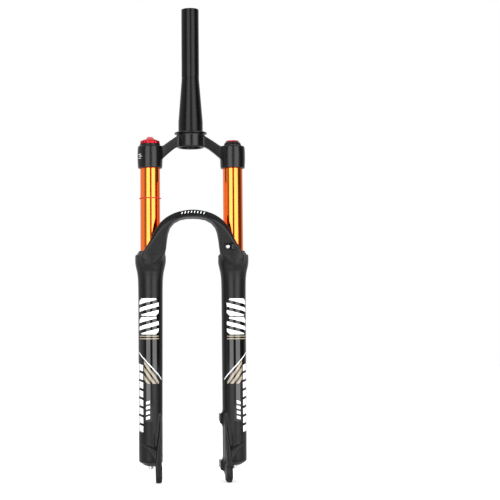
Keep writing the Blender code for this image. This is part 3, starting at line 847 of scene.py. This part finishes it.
def foot_field(block, posts):
    """The foot of one leg: closed end, dropout with its slot, and the brake posts on the air leg."""
    away = from_leg(block)
    leg = common(barrel_field(block, away), FOOT_BOTTOM - block.z, 0.8)
    forward, above = LEG_Y - block.y, block.z - AXLE_Z
    outline = polygon_distance(forward, above, DROPOUT_OUTLINE)
    plate = common(outline, outside(block.x, 50.0, along(DROPOUT_FACES, above)), 1.8)
    shape = join(leg, plate, 4.0)
    shape = join(shape, gusset_field(block), 1.2)
    crease = polygon_distance(block.x, block.z, CREASE_OUTLINE)
    shape = cut(shape, np.maximum(np.maximum(crease, 18.4 - away), block.y - LEG_Y), 0.4)
    if posts:
        for height in POST_HEIGHTS:
            shape = join(shape, post_field(block, height), 9.0)
        lower = POST_HEIGHTS[1]
        web = [(13.5, lower - 2.0), (12.5, lower - 6.0), (2.0, lower - 10.0), (-10.0, lower - 14.0),
               (AXLE_Y + 18, AXLE_Z - 14.5), (AXLE_Y + 12, AXLE_Z + 8), (LEG_Y + 8, lower + 12)]
        tie = common(polygon_distance(block.y, block.z, web), outside(block.x, 50.5, 58.0), 1.5)
        shape = join(shape, tie, 3.0)
    hub = away_from(block.y, block.z, (AXLE_Y, AXLE_Z))
    if posts:
        lip = common(hub - LIP_RADIUS, outside(block.x, 55.0, 59.9), 0.8)
        shape = join(shape, lip, 1.5)
    shape = cut(shape, np.maximum(hub - HUB_RECESS, 57.5 - block.x), 0.4)
    shape = cut(shape, np.maximum(13.5 - hub, np.maximum(-forward + 20.0, block.x - 51.2)), 1.0)
    ahead = block.y - AXLE_Y
    over = block.z - AXLE_Z
    across = ahead * cos(SLOT_TILT) - over * sin(SLOT_TILT)
    down = -ahead * sin(SLOT_TILT) - over * cos(SLOT_TILT)
    slot = np.where(down > 0, np.abs(across), np.sqrt(across ** 2 + down ** 2)) - SLOT_HALF_WIDTH
    shape = cut(shape, slot.astype(np.float32) + 0 * block.x, 0.6)
    shape = bored(block, shape, away)
    if posts:
        for height in POST_HEIGHTS:
            hole = away_from(block.x, block.z, (51.0, height)) - POST_THREAD
            shape = cut(shape, np.maximum(hole, 1.5 - block.y), 0.4)
    box = box_field(block, (48.0, -58.2, -559.2), (87.0, 40.0, -300.0), 0.3)
    return shape if posts else common(shape, box, 0.3)


def cut_open(mesh, height, above):
    """Trims a mesh at a height and returns it in a bmesh, open there."""
    work = bmesh.new()
    work.from_mesh(mesh)
    everything = work.verts[:] + work.edges[:] + work.faces[:]
    bmesh.ops.bisect_plane(work, geom=everything, plane_co=(0, 0, height), plane_no=(0, 0, 1),
                           clear_outer=not above, clear_inner=above, dist=1e-5)
    return work


def loops_at(work, height):
    """The open loops at a height, each as vertices ordered round its leg, with its leg and radius."""
    found = {}
    for vert in work.verts:
        if abs(vert.co.z - height) < 0.02 and any(len(e.link_faces) == 1 for e in vert.link_edges):
            side = 1 if vert.co.x > 0 else -1
            ahead, across = vert.co.y - LEG_Y, vert.co.x - side * LEG_X
            radius = sqrt(ahead ** 2 + across ** 2)
            found.setdefault((side, radius > 18.4), []).append((atan2(ahead, across), vert))
    return {key: [v for _, v in sorted(ring, key=lambda item: item[0])] for key, ring in found.items()}


def angle_round(vert, side):
    return atan2(vert.co.y - LEG_Y, vert.co.x - side * LEG_X)


def zip_loops(work, upper, lower, side):
    """Faces between two loops round a leg that may have different numbers of points."""
    i = j = 0
    while i < len(upper) or j < len(lower):
        a, b = upper[i % len(upper)], lower[j % len(lower)]
        next_a, next_b = upper[(i + 1) % len(upper)], lower[(j + 1) % len(lower)]
        turn_a = angle_round(next_a, side) + (2 * pi if i + 1 >= len(upper) else 0)
        turn_b = angle_round(next_b, side) + (2 * pi if j + 1 >= len(lower) else 0)
        if j >= len(lower) or (i < len(upper) and turn_a <= turn_b):
            work.faces.new((a, next_a, b))
            i += 1
        else:
            work.faces.new((a, next_b, b))
            j += 1


def make_lowers():
    """The lower legs and arch: two cast ends joined by the plain barrels, as one skin."""
    cell = casting_cell()
    top = Block((-94.0, -60.0, TOP_CUT - 4.0), (94.0, 12.0, -127.0), cell)
    top_field = arch_field(top)
    parts = [(top, top_field, 0, top.meshed(top_field, 0.4))]
    for side, sign in SIDES.items():
        foot = Block((42.0, -61.0, -562.0), (92.0, 21.0, FOOT_CUT + 4.0), cell)
        field = foot_field(foot, side == "air")
        parts.append((foot, field, sign, foot.meshed(field, 0.45)))
    whole = bmesh.new()
    normals = []
    for block, field, sign, mesh in parts:
        work = cut_open(mesh, TOP_CUT if sign == 0 else FOOT_CUT, sign == 0)
        bmesh.ops.triangulate(work, faces=work.faces[:])
        points = np.array([v.co for v in work.verts], float)
        slope = block.slope(field, points)
        if sign < 0:
            points[:, 0] *= -1
            slope[:, 0] *= -1
        normals.append(slope)
        verts = [whole.verts.new(p) for p in points]
        work.verts.index_update()
        for face in work.faces:
            order = [verts[v.index] for v in face.verts]
            whole.faces.new(order[::-1] if sign < 0 else order)
        work.free()
    whole.verts.index_update()
    high, low = loops_at(whole, TOP_CUT), loops_at(whole, FOOT_CUT)
    for key, upper in high.items():
        zip_loops(whole, upper, low[key], key[0])
    bmesh.ops.recalc_face_normals(whole, faces=whole.faces[:])
    bmesh.ops.scale(whole, vec=(MM, MM, MM), verts=whole.verts[:])
    mesh = bpy.data.meshes.new("lowers_skin")
    whole.to_mesh(mesh)
    whole.free()
    normals = np.concatenate(normals)
    add_mesh("lowers_casting_skin", mesh, satin_black_paint(), "lowers", ("lowers_casting",),
             normals=normals.tolist())


# Seals, guide and foot hardware ------------------------------------------------------------------

def make_seals():
    """The lipped rubber wipers pressed into the collars."""
    for side in SIDES:
        wiper = [(16.3, -215.4), (20.4, -215.4), (20.4, -199.7), (21.0, -199.7, 0.3), (21.0, -197.9, 0.5),
                 (19.4, -197.4, 0.3), (19.2, -195.6, 0.6), (18.7, -194.3, 0.4), (16.9, -193.8, 0.3),
                 (16.3, -194.4, 0.1)]
        add_turned(f"{side}_wiper", wiper, f"{side}_wiper_seal", "black_rubber", "lowers", leg_axis(side),
                   0.3)


def make_hose_guide():
    """The clip in front of the arch: a bent strip round the hose's place, held by a button screw."""
    low, high = node_box("hose_guide")
    back = high.y
    front = back - 1.8
    x, z = 56.0, (low.z + high.z) / 2
    loop_x, loop_y = x + 7.2, back - 2.6
    inner, outer = 3.05, 4.3
    start, sweep, turns = radians(172), radians(278), 40
    outline = [(x - 5.0, back), (x - 5.0, front)]
    for step in range(turns + 1):
        angle = start + sweep * step / turns
        outline.append((loop_x + outer * cos(angle), loop_y + outer * sin(angle)))
    for step in range(turns + 1):
        angle = start + sweep * (1 - step / turns)
        outline.append((loop_x + inner * cos(angle), loop_y + inner * sin(angle)))
    outline[-1] = (loop_x - inner * 0.98, back)
    block = Block((x - 7.0, low.y - 1.5, low.z - 1.5), (high.x + 1.5, back + 1.5, high.z + 1.5), 0.3)
    shape = polygon_distance(block.x, block.y, outline)
    plan = polygon_distance(block.x, block.z, patch(x - 5.2, x + 14, z - 4.0, z + 4.0))
    shape = common(shape, plan, 0.5)
    hole = away_from(block.x, block.z, (x - 1, z)) - 2.4
    shape = cut(shape, hole + 0 * block.y, 0.2)
    cast_piece("hose_guide_clip", block, shape, black_anodising(), "lowers", ("hose_guide",),
               0.3)
    tip = node_box("hose_guide_bolt")[0].y
    socket = 1.7
    head = [(0, back, 0), (2.1, back, 0.1), (2.1, front - 0.3, 0.1), (3.6, front - 0.3, 0.3),
            (3.6, front - 1.9, 0.9), (2.6, tip, 0.5), (socket, tip, 0.1), (socket, tip + 1.7, 0.1),
            (0, tip + 1.9, 0)]

    def six_sided(angle, radius, height):
        if radius <= socket + 0.05 and height < tip + 2.0:
            sector = (angle + pi / 6) % (pi / 3) - pi / 6
            return radius * 0.87 / cos(sector)
        return radius

    add_turned("hose_guide_screw", head, "hose_guide_bolt", "bright_steel", "lowers", (x - 1, 0.0, z),
               facets=48, axis="Y", shape=six_sided)


def make_foot_hardware():
    """The nuts and washers that hold the rods in the feet."""
    for side in SIDES:
        low, high = node_box(f"{side}_foot_nut")
        corner = (high.y - low.y) / 2
        across = corner * 0.866

        def hexed(angle, radius, height, across=across):
            if radius < 4.0:
                return radius
            sector = angle % (pi / 3) - pi / 6
            return min(radius, across / cos(sector))

        nut = [(3.25, low.z, 0.3), (across * 1.02, low.z, 0), (corner, low.z + 0.7, 0),
               (corner, high.z - 0.7, 0), (across * 1.02, high.z, 0), (3.25, high.z, 0.3)]
        add_turned(f"{side}_nut", nut, f"{side}_foot_nut", "bright_steel", "lowers", leg_axis(side), 0,
                   facets=96, shape=hexed, sharp=22)
        low, high = node_box(f"{side}_foot_washer")
        washer = [(3.3, low.z), (5.8, low.z), (5.8, high.z), (3.3, high.z)]
        add_turned(f"{side}_washer", washer, f"{side}_foot_washer", "plain_aluminium", "lowers",
                   leg_axis(side), 0.25)


# Graphics ----------------------------------------------------------------------------------------

FILM_STEP = 4.0  # degrees between the creases that let a flat outline bend round a leg


def add_film(name, side, outlines, material, body, radius, lift, thickness=None):
    """Thin vinyl wrapped on a leg.

    Outlines are in (degrees round the leg from its front, height); degrees run towards the middle of
    the fork, so both legs carry the same shapes mirrored. radius gives the leg's radius at a height.
    """
    thickness = thickness or sizes().film / MM
    cx, cy, _ = leg_axis(side)
    turn = -SIDES[side]
    work = bmesh.new()
    for outline in outlines:
        work.faces.new([work.verts.new((a, z, 0)) for a, z in outline])
    start = min(a for outline in outlines for a, _ in outline)
    end = max(a for outline in outlines for a, _ in outline)
    at = start + FILM_STEP
    while at < end - 0.5:
        everything = work.verts[:] + work.edges[:] + work.faces[:]
        bmesh.ops.bisect_plane(work, geom=everything, plane_co=(at, 0, 0), plane_no=(1, 0, 0), dist=1e-4)
        at += FILM_STEP
    bmesh.ops.triangulate(work, faces=[f for f in work.faces if len(f.verts) > 4])
    bmesh.ops.recalc_face_normals(work, faces=work.faces[:])
    work.verts.index_update()
    flat = [(v.co.x, v.co.y) for v in work.verts]
    count = len(flat)
    points = []
    for level in (lift + thickness, lift):
        for a, z in flat:
            out = radius(z) + level
            points.append((cx + turn * out * sin(radians(a)), cy - out * cos(radians(a)), z))
    faces = []
    for face in work.faces:
        order = [v.index for v in face.verts]
        faces.append(tuple(order))
        faces.append(tuple(i + count for i in reversed(order)))
    for edge in work.edges:
        if len(edge.link_faces) == 1:
            a, b = edge.verts[0].index, edge.verts[1].index
            faces.append((a, b, b + count, a + count))
    work.free()
    return add_piece(name, points, faces, material, body, sharp=40)


def patch(left, right, low, high):
    """A film outline with square corners."""
    return [(left, low), (right, low), (right, high), (left, high)]


def convex_common(subject, window):
    """The overlap of two convex outlines given in the same turning direction."""
    shape = list(subject)
    for i, a in enumerate(window):
        b = window[(i + 1) % len(window)]
        made = []
        for j, p in enumerate(shape):
            q = shape[(j + 1) % len(shape)]
            side_p = (b[0] - a[0]) * (p[1] - a[1]) - (b[1] - a[1]) * (p[0] - a[0])
            side_q = (b[0] - a[0]) * (q[1] - a[1]) - (b[1] - a[1]) * (q[0] - a[0])
            if side_p >= 0:
                made.append(p)
            if (side_p >= 0) != (side_q >= 0):
                t = side_p / (side_p - side_q)
                made.append((p[0] + t * (q[0] - p[0]), p[1] + t * (q[1] - p[1])))
        shape = made
    return shape


def slanted(left, right, low, high, rise):
    """A film outline with upright ends whose low and high edges rise towards the right."""
    return [(left, low), (right, low + rise), (right, high + rise), (left, high)]


def split_panel(left, right, low, high):
    """An octagonal panel split by slanting gaps into three bars."""
    corner, edge = 16.0, 4.6
    panel = [(left + corner, low), (right - corner, low), (right, low + edge), (right, high - edge),
             (right - corner, high), (left + corner, high), (left, high - edge), (left, low + edge)]
    tall = high - low
    lean = 0.16 * tall
    return [convex_common(panel, slanted(left, right, low + start * tall - lean, low + end * tall - lean,
                                         2 * lean))
            for start, end in ((-0.2, 0.18), (0.38, 0.6), (0.8, 1.2))]


def chevron(left, right, low, high, flip):
    """One block of the side column: a slanted slab with a notch."""
    third = (right - left) / 3
    lean = 2.4 if flip else -2.4
    first = [(left, low), (left + 1.75 * third, low + lean * 0.4), (left + 1.75 * third, high),
             (left, high - lean * 0.4 if flip else high)]
    second = [(left + 1.95 * third, low + 2.0), (right, low), (right, high - 2.0),
              (left + 1.95 * third, high)]
    return [first, second]


PANEL_LEFT, PANEL_RIGHT = -68.0, 42.0
PANEL_TOP, PANEL_BOTTOM = -269.0, -404.7
STRIP_BOTTOM = -463.8
LINE_POINTS = [
    (-68.0, -354.5), (-33.0, -364.6), (6.0, -378.8), (25.0, -385.6), (42.0, -391.6), (58.0, -397.2),
]
LINE_WIDTH = 2.1
BAND_TOPS = ((-367.86, 5.7), (-378.56, 6.5), (-391.06, 6.5))  # height at the left end, width
SIDE_DROPS = {"damper": 0.0, "air": -0.8}  # the air leg's films sit a little lower
GLOSS_LIFT, PRINT_LIFT = 0.04, 0.17


def leg_films():
    """Each leg film's name, outlines, finish and lift off the paint. None carries lettering."""
    left, right = PANEL_LEFT + 4, PANEL_RIGHT - 3
    panels = split_panel(left, right, -297.4, -270.0) + split_panel(left, right, -326.8, -299.4)
    rules = [patch(left, right, low, low + 1.5) for low in (-330.6, -334.6)]
    line = LINE_POINTS + [(a, z - LINE_WIDTH) for a, z in reversed(LINE_POINTS)]
    window = patch(-90.0, 90.0, PANEL_BOTTOM, PANEL_TOP)
    bands = [convex_common(slanted(-34.0, 40.0, top - wide, top, -0.46 * 74.0), window)
             for top, wide in BAND_TOPS]
    column = []
    for i in range(8):
        high = -373.5 - 13.7 * i
        column += chevron(-112.0, -40.0, high - 11.6, high, i % 2)
    bars = []
    for i in range(4):
        high = -431.0 - 8.0 * i
        bars.append(slanted(-24.0, -6.0, high - 6.2, high - 1.8, 1.8))
    white, tan, gloss = white_film(), tan_film(), clear_black_film()
    return (
        ("gloss_panel", [patch(PANEL_LEFT, PANEL_RIGHT, PANEL_BOTTOM, PANEL_TOP)], gloss, GLOSS_LIFT),
        ("gloss_strip", [patch(-33.0, 6.0, STRIP_BOTTOM, PANEL_BOTTOM - 0.2)], gloss, GLOSS_LIFT),
        ("light_panels", panels, white, PRINT_LIFT),
        ("rules", rules, tan, PRINT_LIFT),
        ("slanted_line", [line], white, PRINT_LIFT),
        ("tan_bands", bands, tan, PRINT_LIFT),
        ("side_blocks", column, white, PRINT_LIFT),
        ("strip_bars", bars, white, PRINT_LIFT),
    )


def make_graphics():
    """Generic panels, bands and blocks on both legs, and small bars on the arch."""
    films = leg_films()
    for side in SIDES:
        for name, outlines, material, lift in films:
            lowered = [[(a, z + SIDE_DROPS[side]) for a, z in outline] for outline in outlines]
            add_film(f"{side}_{name}", side, lowered, material, "lowers", leg_radius, lift)
    bars = []
    for i in range(8):
        left = -18.6 + i * 5.0
        high = -132.0 - 0.006 * (left + 1.6) ** 2
        bars.append([(left, high - 3.4), (left + 1.4, high - 3.4), (left + 2.7, high), (left + 1.3, high)])
    add_arch_bars(bars, white_film())


def front_at(block, field, x, z):
    """Where a field's surface is first met at x and z, coming from the front."""
    depths = block.low[1] + 0.1 * np.arange(int((block.counts[1] - 2) * block.cell / 0.1))
    values = block.sampled(field, np.array([(x, depth, z) for depth in depths]))
    return float(depths[np.argmax(values < 0)])


def add_arch_bars(outlines, material):
    """Small slanted bars on the sloping front of the arch."""
    block = Block((-30.0, -60.0, -146.0), (30.0, -40.0, -128.0), 0.5)
    field = arch_field(block)
    points, faces = [], []
    for i, outline in enumerate(outlines):
        fronts = [front_at(block, field, x, z) for x, z in outline]
        for lift in (0.16, 0.02):
            for (x, z), front in zip(outline, fronts):
                points.append((x, front - lift, z))
        start = 8 * i
        faces.append((start, start + 1, start + 2, start + 3))
        faces.append((start + 7, start + 6, start + 5, start + 4))
        for k in range(4):
            after = (k + 1) % 4
            faces.append((start + k, start + 4 + k, start + 4 + after, start + after))
    add_piece("arch_bars", points, faces, material, "lowers", sharp=40)


# Internals ---------------------------------------------------------------------------------------

def finish_internals():
    """Gives each CAD node that stays shown the finish of its slot."""
    record_slots = {m["slot"] for m in frame["record"]["materials"]}
    for node in frame["nodes"].values():
        for slot in node.material_slots:
            base = slot.material.name.split(".")[0] if slot.material else ""
            if base in SLOT_FINISHES and base in record_slots:
                slot.material = SLOT_FINISHES[base]()


# Stage -------------------------------------------------------------------------------------------

AIM = Vector((0.0, -20.0, -170.0)) * MM
CAMERA_DISTANCE = 2.0
CAMERA_AZIMUTH = radians(-3.44)
CAMERA_RISE = radians(-3.72)
CAMERA_ROLL = radians(-0.313)


def make_camera():
    """A long lens at mid height, a little to the damper's side, looking slightly up."""
    back = Vector((sin(CAMERA_AZIMUTH) * cos(CAMERA_RISE), -cos(CAMERA_AZIMUTH) * cos(CAMERA_RISE),
                   sin(CAMERA_RISE)))
    right = (-back).cross(Vector((0, 0, 1))).normalized()
    up = right.cross(-back)
    rolled = right * cos(CAMERA_ROLL) + up * sin(CAMERA_ROLL)
    rolled_up = up * cos(CAMERA_ROLL) - right * sin(CAMERA_ROLL)
    data = bpy.data.cameras.new("camera")
    data.sensor_width = 36.0
    data.lens = 89.68
    data.shift_x = 0.1162
    data.shift_y = -0.0281
    data.clip_start = 0.05
    data.clip_end = 50.0
    camera = bpy.data.objects.new("camera", data)
    turned = Matrix((rolled, rolled_up, back)).transposed().to_4x4()
    camera.matrix_world = Matrix.Translation(AIM + back * CAMERA_DISTANCE) @ turned
    bpy.context.scene.collection.objects.link(camera)
    bpy.context.scene.camera = camera


SOFTBOX_RADIANCE = 4.3
SOFTBOX_HEIGHT, SOFTBOX_DISTANCE, SOFTBOX_CENTRE_Z = 2.3, 1.6, 0.1  # metres
SURROUND = (  # azimuth from the front in degrees, brightness
    (-180, 1.0), (-150, 0.9), (-128, 0.8), (-106, 0.85), (-88, 0.9), (-73, 0.62), (-59, 0.4),
    (-52, 0.21), (0, 0.19), (50, 0.21), (60, 0.3), (72, 0.12), (95, 0.1), (110, 0.45), (130, 0.75),
    (180, 1.0),
)


def make_world():
    """White behind the fork; for reflections, a studio that is dark in front and pale behind."""
    world = bpy.data.worlds.new("studio")
    world.use_nodes = True
    tree = world.node_tree
    tree.nodes.clear()
    place = add_node(tree, "ShaderNodeTexCoord")
    parts = add_node(tree, "ShaderNodeSeparateXYZ", {"Vector": place.outputs["Generated"]})
    flipped = add_node(tree, "ShaderNodeMath", {0: parts.outputs["Y"], 1: -1.0}, operation="MULTIPLY")
    angle = add_node(tree, "ShaderNodeMath", {0: parts.outputs["X"], 1: flipped.outputs[0]},
                     operation="ARCTAN2")
    share = add_node(tree, "ShaderNodeMapRange", {
        "Value": angle.outputs[0], "From Min": -pi, "From Max": pi, "To Min": 0.0, "To Max": 1.0,
    })
    ramp = add_node(tree, "ShaderNodeValToRGB", {"Fac": share.outputs["Result"]})
    stops = ramp.color_ramp.elements
    for index, (azimuth, level) in enumerate(SURROUND):
        at = (azimuth + 180) / 360
        stop = stops[index] if index < 2 else stops.new(at)
        stop.position = at
        stop.color = (level, level, level, 1)
    overhead = add_node(tree, "ShaderNodeMapRange", {
        "Value": parts.outputs["Z"], "From Min": 0.35, "From Max": 0.95, "To Min": 0.0, "To Max": 0.9,
    })
    rear = add_node(tree, "ShaderNodeMapRange", {
        "Value": parts.outputs["Y"], "From Min": -0.35, "From Max": 0.15, "To Min": 0.03, "To Max": 1.0,
    })
    canopy = add_node(tree, "ShaderNodeMath", {0: overhead.outputs["Result"], 1: rear.outputs["Result"]},
                      operation="MULTIPLY")
    lit = add_node(tree, "ShaderNodeMath", {0: ramp.outputs["Color"], 1: canopy.outputs[0]},
                   operation="ADD")
    seen = add_node(tree, "ShaderNodeLightPath")
    around = add_node(tree, "ShaderNodeBackground", {"Color": (1, 1, 1, 1), "Strength": lit.outputs[0]})
    behind = add_node(tree, "ShaderNodeBackground", {"Color": (1, 1, 1, 1), "Strength": 1.0})
    chosen = add_node(tree, "ShaderNodeMixShader", {
        0: seen.outputs["Is Camera Ray"], 1: around.outputs[0], 2: behind.outputs[0],
    })
    add_node(tree, "ShaderNodeOutputWorld", {"Surface": chosen.outputs[0]})
    bpy.context.scene.world = world


def add_softbox(name, azimuth, width):
    """A tall area light that faces the fork from an azimuth in degrees."""
    data = bpy.data.lights.new(name, "AREA")
    data.shape = "RECTANGLE"
    data.size = width
    data.size_y = SOFTBOX_HEIGHT
    data.energy = SOFTBOX_RADIANCE * width * SOFTBOX_HEIGHT * pi
    light = bpy.data.objects.new(name, data)
    turn = radians(azimuth)
    light.location = (SOFTBOX_DISTANCE * sin(turn), -SOFTBOX_DISTANCE * cos(turn), SOFTBOX_CENTRE_Z)
    aim = Vector((0, 0, SOFTBOX_CENTRE_Z)) - light.location
    light.rotation_euler = aim.to_track_quat("-Z", "Y").to_euler()
    light.visible_camera = False
    bpy.context.scene.collection.objects.link(light)


def make_stage():
    """Camera, surroundings, two softboxes in front and a paper floor."""
    make_camera()
    make_world()
    add_softbox("softbox_right", 34.0, 1.17)
    add_softbox("softbox_left", -26.0, 1.07)
    make_floor()
    bpy.context.scene.view_settings.view_transform = "Standard"


FLOOR_HALF, FLOOR_STEPS = 4.0, 24  # metres from the middle to an edge, and squares along a side


def make_floor():
    """White paper that lights itself a little, so it stays white to its horizon."""
    floor_z = CAD_BOX[0][2] - 0.0006
    row = FLOOR_STEPS + 1
    places = [FLOOR_HALF * (2 * i / FLOOR_STEPS - 1) for i in range(row)]
    points = [(x, y, floor_z) for x in places for y in places]
    corners = [i * row + j for i in range(FLOOR_STEPS) for j in range(FLOOR_STEPS)]
    mesh = bpy.data.meshes.new("floor")
    mesh.from_pydata(points, [], [(c, c + row, c + row + 1, c + 1) for c in corners])
    floor = bpy.data.objects.new("floor", mesh)
    bpy.context.scene.collection.objects.link(floor)
    paper = surface("seamless_paper_white", hex_colour("#F7F7F7"), 0.8, grain_mm=2.0, grain_depth=0.02,
                    wear=0.01)
    shader = paper.node_tree.nodes["Principled BSDF"]
    shader.inputs["Emission Color"].default_value = (1, 1, 1, 1)
    tree = paper.node_tree
    seen = add_node(tree, "ShaderNodeLightPath")
    glow = add_node(tree, "ShaderNodeMapRange", {"Value": seen.outputs["Is Camera Ray"], "To Min": 0.05,
                                                 "To Max": 0.3})
    tree.links.new(glow.outputs["Result"], shader.inputs["Emission Strength"])
    mesh.materials.append(paper)


# Operators ---------------------------------------------------------------------------------------

class FORK_OT_steerer(bpy.types.Operator):
    """Builds the tapered steerer."""

    bl_idname = "fork.steerer"
    bl_label = "Steerer"

    def execute(self, context):
        make_steerer()
        return {"FINISHED"}


class FORK_OT_crown(bpy.types.Operator):
    """Builds the forged crown and its printed dashes."""

    bl_idname = "fork.crown"
    bl_label = "Crown"

    def execute(self, context):
        make_crown()
        return {"FINISHED"}


class FORK_OT_stanchions(bpy.types.Operator):
    """Builds the two gold upper tubes."""

    bl_idname = "fork.stanchions"
    bl_label = "Stanchions"

    def execute(self, context):
        make_stanchions()
        return {"FINISHED"}


class FORK_OT_top_caps(bpy.types.Operator):
    """Builds the caps on top of the two upper tubes."""

    bl_idname = "fork.top_caps"
    bl_label = "Top Caps"

    def execute(self, context):
        make_top_caps()
        return {"FINISHED"}


class FORK_OT_lockout(bpy.types.Operator):
    """Builds the red lockout knob."""

    bl_idname = "fork.lockout"
    bl_label = "Lockout Knob"

    def execute(self, context):
        make_lockout()
        return {"FINISHED"}


class FORK_OT_sag_ring(bpy.types.Operator):
    """Builds the rubber ring on the damper stanchion."""

    bl_idname = "fork.sag_ring"
    bl_label = "Sag Ring"

    def execute(self, context):
        make_sag_ring()
        return {"FINISHED"}


class FORK_OT_lowers(bpy.types.Operator):
    """Builds the cast lower legs with their arch, dropouts and brake posts."""

    bl_idname = "fork.lowers"
    bl_label = "Lower Legs"

    def execute(self, context):
        make_lowers()
        return {"FINISHED"}


class FORK_OT_seals(bpy.types.Operator):
    """Builds the wiper seals on the collars."""

    bl_idname = "fork.seals"
    bl_label = "Wiper Seals"

    def execute(self, context):
        make_seals()
        return {"FINISHED"}


class FORK_OT_hose_guide(bpy.types.Operator):
    """Builds the hose clip and its screw."""

    bl_idname = "fork.hose_guide"
    bl_label = "Hose Guide"

    def execute(self, context):
        make_hose_guide()
        return {"FINISHED"}


class FORK_OT_foot_hardware(bpy.types.Operator):
    """Builds the nuts and washers under the legs."""

    bl_idname = "fork.foot_hardware"
    bl_label = "Foot Nuts"

    def execute(self, context):
        make_foot_hardware()
        return {"FINISHED"}


class FORK_OT_graphics(bpy.types.Operator):
    """Builds the vinyl graphics on the legs and arch."""

    bl_idname = "fork.graphics"
    bl_label = "Graphics"

    def execute(self, context):
        make_graphics()
        return {"FINISHED"}


class FORK_OT_internals(bpy.types.Operator):
    """Finishes the pieces inside the legs."""

    bl_idname = "fork.internals"
    bl_label = "Internals"

    def execute(self, context):
        finish_internals()
        return {"FINISHED"}


class FORK_OT_stage(bpy.types.Operator):
    """Sets the floor, lights and camera."""

    bl_idname = "fork.stage"
    bl_label = "Stage"

    def execute(self, context):
        make_stage()
        return {"FINISHED"}


OPERATORS = (
    FORK_OT_steerer,
    FORK_OT_crown,
    FORK_OT_stanchions,
    FORK_OT_top_caps,
    FORK_OT_lockout,
    FORK_OT_sag_ring,
    FORK_OT_lowers,
    FORK_OT_seals,
    FORK_OT_hose_guide,
    FORK_OT_foot_hardware,
    FORK_OT_graphics,
    FORK_OT_internals,
    FORK_OT_stage,
)


class FORK_PT_panel(bpy.types.Panel):
    """Lists the fork's pieces and settings."""

    bl_label = "Suspension Fork"
    bl_idname = "FORK_PT_panel"
    bl_space_type = "VIEW_3D"
    bl_region_type = "UI"
    bl_category = "Fork"

    def draw(self, context):
        layout = self.layout
        for settings in (context.scene.fork_sizes, context.scene.fork_colours):
            for name in settings.__annotations__:
                layout.prop(settings, name)
        for kind in OPERATORS:
            layout.operator(kind.bl_idname)


CLASSES = (ForkColours, ForkSizes, *OPERATORS, FORK_PT_panel)


def register():
    for kind in CLASSES:
        bpy.utils.register_class(kind)
    bpy.types.Scene.fork_colours = PointerProperty(type=ForkColours)
    bpy.types.Scene.fork_sizes = PointerProperty(type=ForkSizes)


def unregister():
    del bpy.types.Scene.fork_sizes
    del bpy.types.Scene.fork_colours
    for kind in reversed(CLASSES):
        bpy.utils.unregister_class(kind)


def main():
    register()
    for kind in OPERATORS:
        getattr(bpy.ops.fork, kind.bl_idname.split(".")[1])()


if __name__ == "__main__":
    main()
